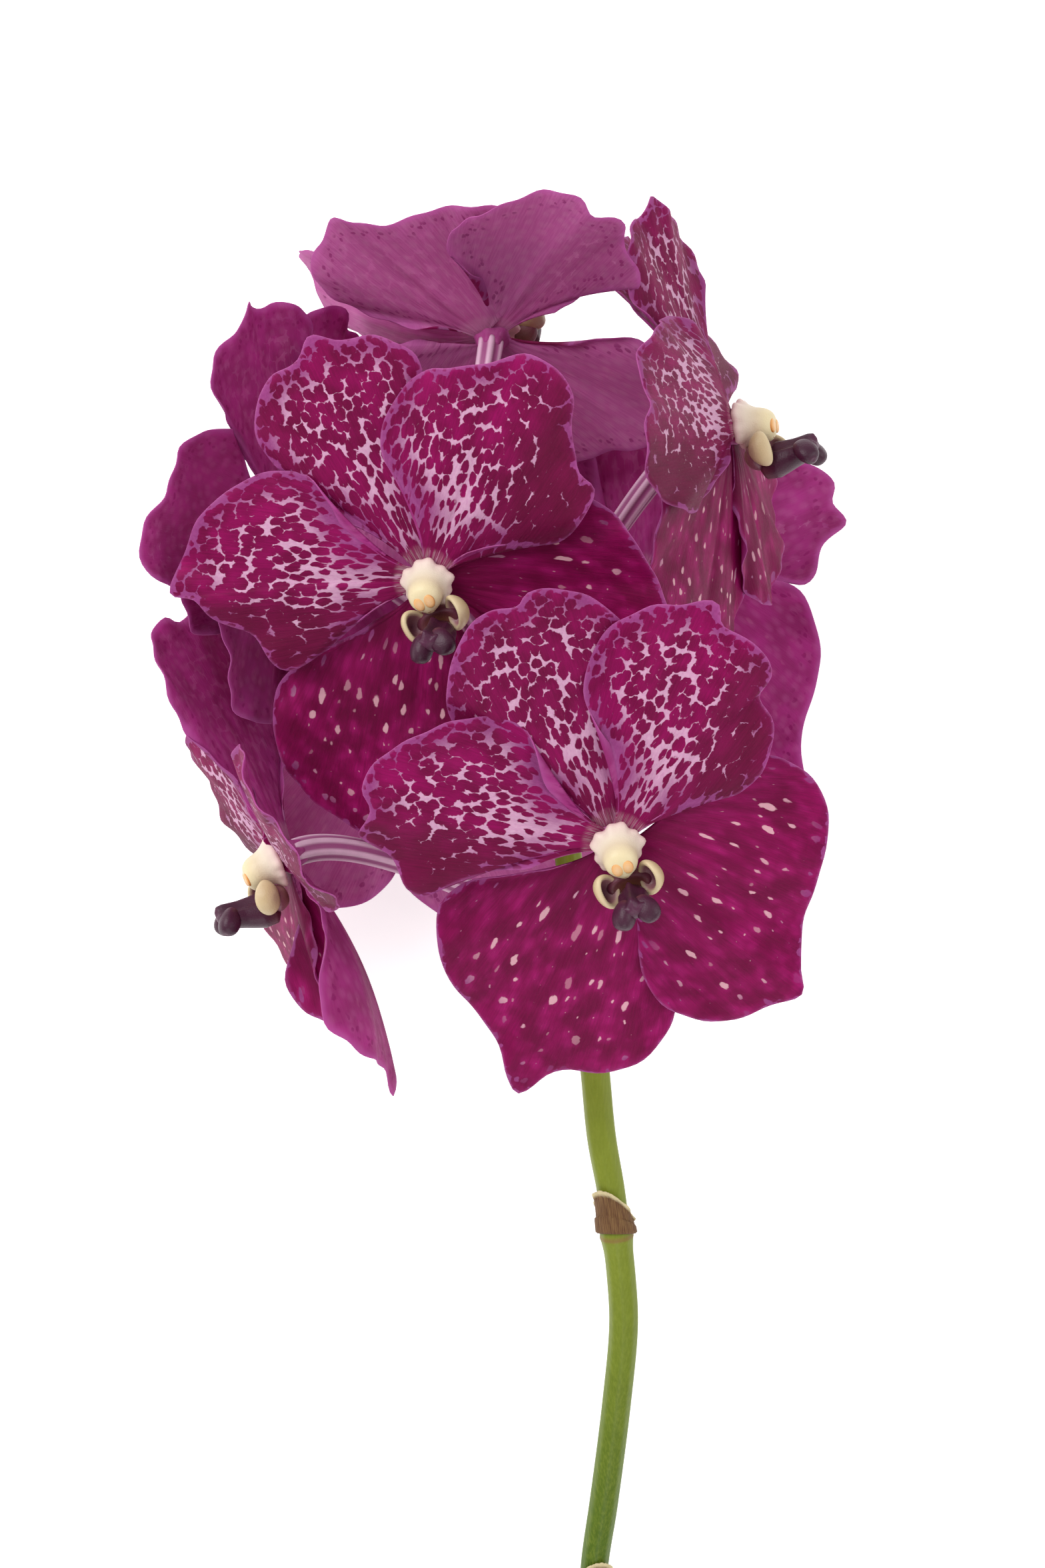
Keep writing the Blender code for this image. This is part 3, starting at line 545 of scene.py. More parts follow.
def apart(tree, vector):
    """The three numbers of a vector."""
    split = add_node(tree, "SeparateXYZ", {0: vector})
    return split.outputs[0], split.outputs[1], split.outputs[2]


def joined(tree, x, y):
    """A flat vector from two numbers."""
    return add_node(tree, "CombineXYZ", {0: x, 1: y}).outputs[0]


def noise(tree, vector, scale, detail=2.0, roughness=0.5):
    """Noise between 0 and 1 at a place."""
    inputs = {"Vector": vector, "Scale": scale, "Detail": detail, "Roughness": roughness}
    return add_node(tree, "TexNoise", inputs, noise_dimensions="3D").outputs[0]


def cells(tree, vector, scale, randomness=0.9, feature="F1"):
    """The distance to the nearest cell's middle or wall, in the plane of the vector's first two numbers.

    With the distance to the middle comes the random colour of the cell.
    """
    inputs = {"Vector": vector, "Scale": scale, "Randomness": randomness}
    made = add_node(tree, "TexVoronoi", inputs, voronoi_dimensions="2D", feature=feature)
    return made.outputs["Distance"], (made.outputs["Color"] if feature == "F1" else None)


def attribute(tree, name):
    """The vector of a point attribute."""
    return add_node(tree, "Attribute", attribute_name=name).outputs["Vector"]


def new_group(name, inputs, outputs):
    """An empty shader node group with named sockets, and its input and output nodes."""
    tree = bpy.data.node_groups.new(name, "ShaderNodeTree")
    for label, kind in inputs:
        tree.interface.new_socket(label, in_out="INPUT", socket_type=kind)
    for label, kind in outputs:
        tree.interface.new_socket(label, in_out="OUTPUT", socket_type=kind)
    return tree, tree.nodes.new("NodeGroupInput"), tree.nodes.new("NodeGroupOutput")


def new_material(name):
    """An empty material with its output node."""
    material = bpy.data.materials.new(name)
    material.use_nodes = True
    tree = material.node_tree
    tree.nodes.clear()
    return material, tree, tree.nodes.new("ShaderNodeOutputMaterial")


def placed_group(tree, group, inputs):
    """A node that holds a group, with its inputs given."""
    made = tree.nodes.new("ShaderNodeGroup")
    made.node_tree = group
    return give(tree, made, inputs)


def on_skin(tree, skin, colour, scale, amount):
    """A colour in fine plant skin that follows the piece's own place."""
    place = add_node(tree, "TexCoord").outputs["Object"]
    return placed_group(tree, skin, {"Colour": colour, "Place": place, "Scale": scale, "Amount": amount})


def raised(tree, height, distance, strength):
    """The normal of a surface that a height raises by a distance in metres."""
    return add_node(tree, "Bump", {"Height": height, "Distance": distance, "Strength": strength}).outputs[0]


def end_material(tree, output, surface, through=None, share=0.0):
    """Ends a material in a surface, mixed by a share with light that comes through it."""
    shader = add_node(tree, "BsdfPrincipled", surface)
    if through:
        soft = add_node(tree, "BsdfTranslucent", through)
        shader = add_node(tree, "MixShader", {0: share, 1: shader.outputs[0], 2: soft.outputs[0]})
    tree.links.new(shader.outputs[0], output.inputs[0])


def make_grain_group():
    """Fine plant skin: a colour a little lighter and darker in clouds and grain, and a matching height."""
    tree, start, end = new_group(
        "plant_skin",
        [("Colour", "NodeSocketColor"), ("Place", "NodeSocketVector"), ("Scale", "NodeSocketFloat"),
         ("Amount", "NodeSocketFloat")],
        [("Colour", "NodeSocketColor"), ("Height", "NodeSocketFloat")])
    place = add_node(tree, "VectorMath", {0: start.outputs["Place"], "Scale": start.outputs["Scale"]},
                     operation="SCALE").outputs[0]
    cloud = noise(tree, place, 0.35, 3.0)
    grain = noise(tree, place, 3.0, 2.0, 0.6)
    both = plus(tree, times(tree, cloud, 0.6), times(tree, grain, 0.4))
    value = stirred(tree, 1.0, both, start.outputs["Amount"])
    tinted = add_node(tree, "HueSaturation", {"Value": value, "Color": start.outputs["Colour"]})
    give(tree, end, {"Colour": tinted.outputs[0], "Height": grain})
    return tree


def make_petal_group():
    """The markings of a petal.

    Cell holds the place in the pattern, whose cells lengthen towards the claw. Marks holds the darkness that
    narrows the light lines between the cells, the strength of the sparse spots and the distance to the margin
    in millimetres. Tone holds the nearness to the claw, the browner side, and 0 on the front, 1 on a pale lit
    back or 2 on a back darkened to deep magenta by painted shade.
    """
    tree, start, end = new_group(
        "petal_markings",
        [("Cell", "NodeSocketVector"), ("Marks", "NodeSocketVector"), ("Tone", "NodeSocketVector")],
        [("Colour", "NodeSocketColor"), ("Glow", "NodeSocketColor"), ("Height", "NodeSocketFloat"),
         ("Roughness", "NodeSocketFloat")])
    cell = start.outputs["Cell"]
    limit, spots, margin = apart(tree, start.outputs["Marks"])
    claw, brown, side = apart(tree, start.outputs["Tone"])
    back = calc(tree, "MINIMUM", side, 1.0)
    back_shade = calc(tree, "MAXIMUM", minus(tree, side, 1.0), 0.0)
    # The place in the pattern is pushed about, so that no two cells are alike.
    push = add_node(tree, "TexNoise", {"Vector": cell, "Scale": 1.1, "Detail": 2.0}, noise_dimensions="3D")
    push = vector_calc(tree, "SUBTRACT", push.outputs[1], (0.5, 0.5, 0.5))
    moved = add_node(tree, "VectorMath", {0: push, 1: (0.75, 0.75, 0.0), 2: cell}, operation="MULTIPLY_ADD")
    moved = moved.outputs[0]
    finer = vector_calc(tree, "MULTIPLY", moved, (1.25, 1.3, 1.0))
    reach, _ = cells(tree, finer, 1.0, 0.95)
    wall, _ = cells(tree, finer, 1.0, 0.95, "DISTANCE_TO_EDGE")
    fine = noise(tree, cell, 4.0, 3.0, 0.6)
    broad = noise(tree, cell, 0.45, 2.0)
    # The network of light lines: light where the ragged reach from a cell's middle passes the varied limit.
    ragged = minus(tree, stirred(tree, reach, fine, 0.34), times(tree, wall, 0.35))
    edge = step_down(tree, stirred(tree, margin, broad, 1.6), 0.1, 1.3)
    lighter = plus(tree, 0.42, times(tree, spots, 0.62))
    varied = minus(tree, stirred(tree, limit, broad, 0.5), times(tree, edge, lighter))
    blotch = step_up(tree, minus(tree, ragged, varied), -0.05, 0.06)
    # The sparse spots of the lower sepals, each of its own size and strength, some in a halo.
    spot_reach, spot_random = cells(tree, vector_calc(tree, "MULTIPLY", moved, (0.62, 0.8, 1.0)), 1.0, 0.8)
    size, strength, _ = apart(tree, spot_random)
    radius = times(tree, minus(tree, times(tree, size, size), 0.07), 0.28)
    radius = times(tree, radius, spots)
    spot = step_up(tree, minus(tree, radius, stirred(tree, spot_reach, fine, 0.1)), -0.04, 0.03)
    spot = times(tree, spot, step_up(tree, strength, 0.0, 0.6, 0.35, 1.0))
    halo = times(tree, step_down(tree, spot_reach, 0.1, 0.6, 0.6), step_up(tree, broad, 0.35, 0.65))
    halo = times(tree, halo, spots)
    light = calc(tree, "MAXIMUM", blotch, spot)
    # Dark ground: crimson that turns brighter in clouds and browner to one side, with fine streaks along the
    # veins.
    streak = noise(tree, vector_calc(tree, "MULTIPLY", cell, (0.5, 7.0, 1.0)), 1.0, 3.0, 0.6)
    clouds = step_up(tree, broad, 0.3, 0.75)
    ground = mixed(tree, clouds, CRIMSON, BRIGHT_CRIMSON)
    ground = mixed(tree, times(tree, brown, 0.75), ground, BROWN_CRIMSON)
    ground = mixed(tree, halo, ground, SPOT_HALO)
    brighter = step_up(tree, streak, 0.2, 0.8, 0.82, 1.2)
    ground = add_node(tree, "HueSaturation", {"Value": brighter, "Color": ground}).outputs[0]
    # Light ground: white pink in the middle, cream on the lower sepals, mauve by the margin.
    pale = mixed(tree, fine, DULL_PINK, WHITE_PINK)
    pale = mixed(tree, times(tree, spots, 0.75), pale, CREAM_PINK)
    pale = mixed(tree, step_down(tree, margin, 1.0, 8.0), pale, mixed(tree, fine, DARK_MAUVE, MAUVE))
    front = mixed(tree, light, ground, pale)
    # A thin rim half way to a light mauve: partly the blade's own mauve rim, partly painted glow of light
    # through the edge.
    front = mixed(tree, step_down(tree, margin, 0.0, 0.55, 0.5), front, RIM_MAUVE_AND_PAINTED_GLOW)
    # The claw: pink white with crimson veins.
    throat = mixed(tree, step_up(tree, streak, 0.35, 0.62), CLAW_PINK, CLAW_VEIN)
    front = mixed(tree, step_up(tree, claw, 0.35, 0.85), front, throat)
    # The back: mauve pink where lit, or deep magenta as painted shade on backs turned from the light, with
    # soft pale spots, the front's dark painted in as if shining through a little, and crimson specks in a band
    # inside the margin.
    soft, _ = cells(tree, cell, 0.95, 0.75)
    milky = mixed(tree, step_up(tree, streak, 0.25, 0.75), MILKY_MAUVE, MILKY_PINK)
    milky = mixed(tree, step_down(tree, soft, 0.1, 0.5, 0.22), milky, MILKY_SPOT)
    # Painted shade: the back's colours in deep magenta, mixed in by the back's share of shade.
    shaded_back = mixed(tree, clouds, PAINTED_SHADE_MAGENTA, PAINTED_SHADE_MAUVE)
    shaded_back = mixed(tree, step_down(tree, soft, 0.1, 0.45, 0.3), shaded_back, PAINTED_SHADE_SPOT)
    reverse = mixed(tree, back_shade, milky, shaded_back)
    reverse = mixed(tree, times(tree, brown, 0.3), reverse, front)
    reverse = mixed(tree, step_down(tree, margin, 0.05, 1.2, 0.6), reverse, BACK_RIM)
    speck = step_down(tree, reach, 0.16, 0.26)
    speck = times(tree, speck, step_up(tree, margin, 1.0, 2.2))
    speck = times(tree, speck, step_down(tree, margin, 2.6, 5.0))
    reverse = mixed(tree, times(tree, speck, 0.6), reverse, BACK_SPECK)
    reverse = mixed(tree, step_up(tree, claw, 0.3, 0.9, 0.0, 0.7), reverse, BACK_CLAW)
    colour = mixed(tree, back, front, reverse)
    # The light that comes through, and the height of the veins, the light lines and the fine skin.
    glow = mixed(tree, 0.45, colour, GLOW_MAGENTA)
    glow = mixed(tree, step_down(tree, margin, 0.2, 1.8, 0.5), glow, GLOW_RIM)
    height = plus(tree, times(tree, streak, 0.6), times(tree, light, 0.12))
    height = plus(tree, height, times(tree, fine, 0.35))
    give(tree, end, {"Colour": colour, "Glow": glow, "Height": height,
                     "Roughness": step_up(tree, fine, 0.2, 0.8, 0.46, 0.62)})
    return tree


def petal_material(group):
    """Velvety petal skin that lets some light through."""
    material, tree, output = new_material("petal_skin")
    marked = placed_group(tree, group, {"Cell": attribute(tree, "cell"), "Marks": attribute(tree, "marks"),
                                        "Tone": attribute(tree, "tone")})
    normal = raised(tree, marked.outputs["Height"], 0.00035, 0.35)
    surface = {"Base Color": marked.outputs["Colour"], "Roughness": marked.outputs["Roughness"],
               "Normal": normal, "Specular IOR Level": 0.13}
    end_material(tree, output, surface, {"Color": marked.outputs["Glow"], "Normal": normal}, 0.32)
    return material


def fleshy_material(name, skin, colours, shine, translucent, amount, scale=1200.0):
    """Waxy flesh whose colour runs through the given colours along the first mark, with a fine skin."""
    material, tree, output = new_material(name)
    ramp = add_node(tree, "ValToRGB", {0: apart(tree, attribute(tree, "marks"))[0]})
    stops = ramp.color_ramp.elements
    while len(stops) < len(colours):
        stops.new(0.5)
    for stop, (place, colour) in zip(stops, colours):
        stop.position = place
        stop.color = (*colour, 1.0)
    skinned = on_skin(tree, skin, ramp.outputs[0], scale, amount)
    normal = raised(tree, skinned.outputs["Height"], 0.0002, 0.35)
    end_material(tree, output, {"Base Color": skinned.outputs["Colour"], "Roughness": shine, "Normal": normal,
                                "Specular IOR Level": 0.35},
                 {"Color": skinned.outputs["Colour"], "Normal": normal}, translucent)
    return material


def petal_marks(index, flat, margin, number):
    """Pattern place, marks and tone of a blade from its flat place in millimetres.

    The distance r from the claw and the angle round it give the pattern place (0.12 r + 0.0038 r r, angle
    times 1.9 r to the power 0.6), so cells are long and narrow by the claw and round by the margin. A petal is
    lighter on its upper side and in a patch before its claw, and the dorsal sepal along its middle. The lower
    sepals are dark with sparse spots.
    """
    x, y = flat[..., 0], flat[..., 1]
    r = np.hypot(x + 2.0, y)
    angle = np.arctan2(y, x + 2.0)
    seed = number * len(BLOOMS[number][-1]) + index
    cell = np.stack([0.12 * r + 0.0038 * r * r + 13.7 * seed, 1.9 * angle * r ** 0.6 + 7.3 * seed, 0 * r], -1)
    half = np.abs(y).max()
    spots = 0 * x
    if index in (PETAL_RIGHT, PETAL_LEFT):
        side = y / half * (1 if index == PETAL_RIGHT else -1)
        brown = rise(-side, -0.05, 0.6)
        patch = np.exp(-((x - 13.0) / 5.0) ** 2 - (y / 2.6) ** 2)
        limit = 0.42 + 0.15 * rise(r, 16.0, 34.0) + 0.22 * brown - 0.24 * patch
        limit = limit + 0.3 * rise(-x, -9.0, -4.0)
    elif index == DORSAL:
        brown = 0.25 + 0.4 * rise(np.abs(y) / half, 0.3, 0.9)
        limit = 0.57 - 0.17 * np.exp(-((x - 15.0) / 8.0) ** 2 - (y / 6.0) ** 2)
    else:
        brown = 0.2 + 0.3 * rise(-r, -20.0, -8.0)
        limit = 1.35 + 0 * x
        spots = rise(r, 8.0, 17.0)
    claw = (0.6 if index <= PETAL_LEFT else 0.35) * rise(-r, -9.0, -5.0)
    marks = np.stack([limit, spots, margin + 2.5 * rise(-r, -15.0, -8.0)], -1)
    return cell, marks, claw, brown


def petal_shell(number, index):
    """One blade: veins fan from the claw to the margin, and bend, cup and waves raise them, as in the solids.

    A point at share s along its vein lies at x = 0.9 s (1 - s) X + s s X. Its height is the bend times the
    length squared, the cup times the width squared, waves that grow with s to the power 3, ripples that grow
    with s to the power 8, low waves half way, and less a groove along the midrib.
    """
    centre, *axes = bloom_place(number)
    margin_name, angle, tilt, spin, height, scale, bend, cup = BLOOMS[number][-1][index]
    along, across, out = blade_axes(axes, angle, tilt, spin)
    edge = smooth_line(np.array(MARGINS[margin_name], float) * scale, PETAL_STEPS)
    s = np.linspace(0, 1, PETAL_ROWS + 1)[:, None] ** 0.85
    v = np.linspace(-1.0, 1.0, PETAL_STEPS + 1)[None, :]
    edge_x, edge_y = edge[None, :, 0], edge[None, :, 1]
    claw_y = CLAW_HALF_WIDTH * v
    x = 2 * s * (1 - s) * 0.45 * edge_x + s * s * edge_x
    y = (1 - s) ** 2 * claw_y + 2 * s * (1 - s) * (0.2 * edge_y + 0.7 * claw_y) + s * s * edge_y
    length, width = edge_x.max(), np.abs(edge_y).max()
    z = bend * length * (x / length) ** 2 + cup * y * y / width
    phase = number + 2.1 * index
    z = z + s ** 3 * np.sin(math.pi * RIM_WAVES * v + phase)
    z = z + RIM_RIPPLE_HEIGHT * s ** 8 * np.sin(math.pi * RIM_RIPPLES * v + 2 * phase)
    z = z + INNER_WAVE_HEIGHT * (s * (1 - s)) * np.cos(math.pi * INNER_WAVES * v)
    groove = MIDRIB_DEPTH * np.exp(-(y / 1.1) ** 2) * rise(x, 3.0, 12.0)
    z = z - groove * rise(-x, -0.9 * length, -0.5 * length)
    start = centre + height * axes[2] + CLAW_START * along
    middle = start + np.stack([x, y, z], -1) @ np.array([along, across, out])
    flat = np.stack([x, y], -1)
    border = smooth_line(np.vstack([[[0.0, -CLAW_HALF_WIDTH]], edge, [[0.0, CLAW_HALF_WIDTH]]]), 220)
    gap = np.linalg.norm(flat[:, :, None, :] - border[None, None, :, :], axis=-1).min(-1)
    cell, marks, claw, brown = petal_marks(index, flat, gap, number)
    # The share of painted shade on the back: a little on the blooms with lit backs, much on the others.
    back_shade = LIT_BACK_PAINTED_SHADE if number in LIT_BACKED_BLOOMS else DARK_BACK_PAINTED_SHADE
    front, back = (np.concatenate([cell, marks, np.stack([claw, brown, 0 * claw + side], -1)], -1)
                   for side in (0, 1 + back_shade))
    thickness = BLADE_THICKNESS * (1 - 0.45 * s ** 2) * (0.55 + 0.45 * rise(gap, 0.0, 2.5))
    return sheet_shell(middle, thickness + 0 * x, front, back)


def bloom_petals(number, material):
    """The five blades of a bloom and the hub they meet in, flared behind on to the stalk."""
    centre, right, up, front = bloom_place(number)
    shell = Shell()
    for index in range(len(BLOOMS[number][-1])):
        shell.add(*petal_shell(number, index))
    profile = smooth_line([
        (0.05, HUB_HALF_THICKNESS), (1.8, 1.5), (3.1, 0.8), (HUB_RADIUS, 0.0), (3.3, -0.8), (2.8, -1.6),
        (2.45, -2.6), (2.2, -3.4), (1.9, -3.6), (0.05, -3.6)], 30)
    points, faces, marks = turned_shell(centre, (front, right, up), profile, 48, 0.05, 6)
    share, turn = marks[:, 0], marks[:, 1]
    place = np.stack([8.0 * share, 2.0 * turn, 0 * share], -1)
    plain = np.zeros((len(points), 3)) + (1.2, 0.0, 5.0)
    # The hub's rear takes the back's colours with 0.6 of painted shade.
    tone = np.stack([0 * share, 0 * share, 1.6 * rise(share, 0.3, 0.5)], -1)
    shell.add(points, faces, np.concatenate([place, plain, tone], -1))
    return shell.object(f"petals_{number:02d}", ("cell", "marks", "tone"), [material])


def bloom_column(number, cream, gold):
    """The column: a frilled foot, a tapering body and a rounded cap with a small beak.

    Two golden pollen lobes sit at the front of the cap, and a small golden mark below them.
    """
    middle, right, up, front = bloom_place(number)
    shell = Shell()
    profile = smooth_line([
        (0.05, 1.4), (3.4, 1.5), (4.6, 1.8), (4.75, 2.4), (4.2, 3.2), (3.6, 4.2), (3.25, 5.3), (3.15, 6.4),
        (2.85, 7.4), (2.2, 8.2), (1.2, 8.6), (0.05, 8.7)], 44)
    points, faces, marks = turned_shell(middle, (front, right, up), profile, 60)
    local = (points - middle) @ np.array([right, up, front]).T
    share = rise(local[:, 2], 2.0, 8.0)
    turn = np.arctan2(local[:, 1], local[:, 0])
    frill = 1 + (0.07 * np.cos(5 * turn) + 0.05 * np.cos(11 * turn + 1)) * rise(-local[:, 2], -4.2, -2.2)
    beak = rise(-np.abs(turn + math.pi / 2), -0.5, 0.0) * rise(local[:, 2], 5.5, 7.6) * 0.12
    local[:, :2] *= (frill + beak)[:, None]
    local[:, 1] -= 0.7 * share
    points = middle + local @ np.array([right, up, front])
    shell.add(points, faces, np.concatenate([rise(local[:, 2], 1.4, 8.7)[:, None], marks[:, 1:]], -1))
    dome = smooth_line([(0.02, -0.5), (1.1, -0.45), (1.35, -0.1), (1.2, 0.22), (0.7, 0.38), (0.02, 0.42)], 18)
    for side in (-1, 1):
        place = middle + 8.42 * front - 1.15 * up + 0.95 * side * right
        shell.add(*turned_shell(place, (front, right, up), dome, 28, stretch=(0.78, 1.02)), slot=1)
    mark = smooth_line([(0.02, -0.4), (0.4, -0.3), (0.5, 0.0), (0.35, 0.14), (0.02, 0.16)], 10)
    place = middle + 7.95 * front - 3.15 * up
    points, faces, marks = turned_shell(place, (front, right, up), mark, 20, stretch=(1.0, 0.55))
    shell.add(points, faces, 0 * marks, slot=1)
    return shell.object(f"column_{number:02d}", ("marks",), [cream, gold])


def bloom_lip(number, cup_material, throat_material, tongue_material):
    """The lip: two fleshy cups, a throat between them and a ridged dark tongue that ends in two lobes.

    The tongue's rings are ellipses whose half width and half thickness change along it. At share t they have
    risen by 1.5 t + 1.2 t t, and a keel and ridges run along their top.
    """
    middle, right, up, front = bloom_place(number)
    shell = Shell()
    cup = smooth_line([
        (0.02, -1.75), (1.2, -1.6), (2.2, -1.0), (2.9, -0.1), (3.2, 0.7), (3.1, 1.25), (2.65, 1.4),
        (2.2, 1.05), (1.8, 0.3), (1.1, -0.4), (0.02, -0.7)], 44)
    for side in (-1, 1):
        inward = unit(-0.75 * side * right + 0.62 * front + 0.2 * up)
        upward = unit(up - np.dot(up, inward) * inward)
        place = middle + 6.3 * front + 4.55 * side * right - (LIP_DROP - 0.8) * up
        axes = (inward, np.cross(upward, inward), upward)
        shell.add(*turned_shell(place, axes, cup, 44, 0.05, 3, (0.82, 1.04)), slot=0)
    foot = smooth_line([
        (0.02, -1.0), (0.6, -0.85), (0.95, -0.3), (1.0, 0.2), (0.8, 0.6), (0.5, 0.5), (0.02, 0.35)], 30)
    foot = foot * np.array([1.0, 2.3])
    place = middle + 4.6 * front - LIP_DROP * up
    shell.add(*turned_shell(place, (front, right, up), foot, 40, 0.04, 2, (4.3, 2.7)), slot=1)
    t = np.linspace(0, 1, 46)[:, None]
    turn = np.linspace(0, 2 * math.pi, 56, endpoint=False)[None, :]
    across, over = np.cos(turn), np.sin(turn)
    half = np.interp(t, [0, 0.08, 0.3, 0.55, 0.8, 0.93, 1.0], [0.8, 2.4, 2.9, 2.7, 3.0, 2.5, 0.9])
    thick = np.interp(t, [0, 0.08, 0.3, 0.6, 0.85, 0.95, 1.0], [0.8, 2.3, 2.8, 2.2, 1.9, 1.5, 0.5])
    ridges = 1 + 0.16 * np.cos(6 * (turn - math.pi / 2)) * (over > 0) * rise(t, 0.1, 0.3)
    forward = 4.8 + 11.6 * t
    lift = -8.7 + 1.5 * t + 1.2 * t * t + thick * over * ridges
    lift = lift + 0.7 * np.exp(-(across / 0.3) ** 2) * (over > 0) * rise(t, 0.05, 0.3)
    rings = (middle + (forward + 0 * turn)[..., None] * front + (half * across)[..., None] * right
             + (lift + 0 * turn)[..., None] * up)
    marks = np.stack([t + 0 * turn, 0 * t + across, 0 * t + over], -1)
    shell.add(*ring_shell(rings, marks), slot=2)
    # Two rounded lobes curl down at the tongue's tip.
    lobe = smooth_line([
        (0.02, -2.9), (1.1, -2.5), (1.9, -1.4), (2.2, 0.0), (2.05, 1.3), (1.5, 2.3), (0.6, 2.75),
        (0.02, 2.7)], 30)
    for side in (-1, 1):
        way = unit(0.62 * front - 0.7 * up + 0.42 * side * right)
        level = unit(np.cross(way, up))
        place = middle + 14.6 * front + 2.1 * side * right - 7.1 * up
        axes = (way, level, np.cross(way, level))
        shell.add(*turned_shell(place, axes, lobe, 40, 0.07, 3, (1.0, 0.9)), slot=2)
    return shell.object(f"lip_{number:02d}", ("marks",), [cup_material, throat_material, tongue_material])


def stem_radius(y):
    """The stem's radius at a height, swollen at its two nodes and drawn in along the rachis."""
    radius = np.interp(y, [CUT_END_Y, -55.0, 20.0, 61.0], [STEM_RADIUS, STEM_RADIUS, 2.4, RACHIS_TOP_RADIUS])
    for node in (UPPER_NODE_Y, LOWER_NODE_Y):
        radius = radius + NODE_SWELLING * np.exp(-((y - node) / 2.2) ** 2)
    return radius


def stalk_line(number, steps):
    """A bloom's stalk from the rachis to the back of its hub: one Bezier curve."""
    centre, _, _, front = bloom_place(number)
    rachis = smooth_line(STEM_LINE, 60)
    spot = np.argmin(np.abs(rachis[:, 1] - BLOOMS[number][3]))
    root = rachis[spot]
    end = centre - front * (HUB_HALF_THICKNESS + JOINT_GAP)
    out = end - root
    way = unit(rachis[spot + 1] - root)
    out = unit(out - np.dot(out, way) * way)
    start = root + out * (stem_radius(root[1]) + JOINT_GAP - 0.6)
    first = start + 9.0 * out + 4.0 * way
    second = end - 14.0 * front
    t = np.linspace(0, 1, steps)[:, None]
    return (1 - t) ** 3 * start + 3 * (1 - t) ** 2 * t * first + 3 * (1 - t) * t * t * second + t ** 3 * end


def bloom_stalk(number, material):
    """A stalk with six rounded ribs that turn slowly round it.

    It widens towards the bloom with the share of its length to the power 1.5, and swells a little at the root.
    """
    t = np.linspace(0, 1, STALK_STEPS)
    radii = STALK_ROOT_RADIUS + (STALK_HEAD_RADIUS - STALK_ROOT_RADIUS) * t ** 1.5
    radii = radii * (1 + 0.1 * np.exp(-(t / 0.04) ** 2))
    line = stalk_line(number, STALK_STEPS)
    rings, ridge = tube_rings(line, radii, STALK_COLUMNS, ribs=6, depth=0.11, twist=2.2)
    along = np.repeat(t[:, None], STALK_COLUMNS, axis=1)
    shell = Shell()
    shell.add(*ring_shell(rings, np.stack([0.5 + 0.5 * ridge, along, 0 * along], -1)))
    return shell.object(f"stalk_{number:02d}", ("marks",), [material])


def make_stem(material):
    """The stem with its node rings and faint ribs, and a cut face that dips inside a thin green rim."""
    line = smooth_line(STEM_LINE, STEM_STEPS)
    y = line[:, 1]
    radii = stem_radius(y)
    nodes = 0 * y
    for node in (UPPER_NODE_Y, LOWER_NODE_Y):
        ring = 0.16 * np.exp(-((y - node) / 0.6) ** 2)
        waist = 0.12 * rise(y, node + 0.5, node + 3) * rise(-y, -node - 20, -node - 3)
        radii = radii + ring - waist
        nodes = nodes + np.exp(-((y - node) / 0.9) ** 2)
    radii[0] *= 0.93
    radii[-1] *= 0.5
    radii[-2] *= 0.85
    rings, _ = tube_rings(line, radii, STEM_COLUMNS, ribs=9, depth=0.012, twist=3.0)
    cut = 0 * y
    cut[0] = 1.0
    marks = np.stack([(y - y[0]) / (y[-1] - y[0]), nodes, cut], -1)
    points, faces, marks = ring_shell(rings, np.repeat(marks[:, None, :], STEM_COLUMNS, axis=1))
    # Two more rings and the middle make the cut face, in place of the fan at the start of the tube.
    way = unit(line[1] - line[0])
    spokes = rings[0] - line[0]
    base = len(points)
    centre = STEM_COLUMNS * len(y)
    points = np.vstack([points, line[0] + 0.86 * spokes + 0.05 * way, line[0] + 0.6 * spokes + 0.25 * way])
    points[centre] = line[0] + 0.3 * way
    k = np.arange(STEM_COLUMNS)
    after = np.roll(k, -1)
    inner = base + STEM_COLUMNS
    faces = [face for face in faces if len(face) == 4 or face[0] != centre]
    faces += np.stack([k, base + k, base + after, after], -1).tolist()
    faces += np.stack([base + k, inner + k, inner + after, base + after], -1).tolist()
    faces += np.stack([0 * k + centre, inner + after, inner + k], -1).tolist()
    marks[centre] = (0.0, 0.0, 1.0)
    marks = np.vstack([marks, np.tile((0.0, 0.0, 1.0), (2 * STEM_COLUMNS, 1))])
    shell = Shell()
    shell.add(points, faces, marks)
    return shell.object("stem_green", ("marks",), [material])


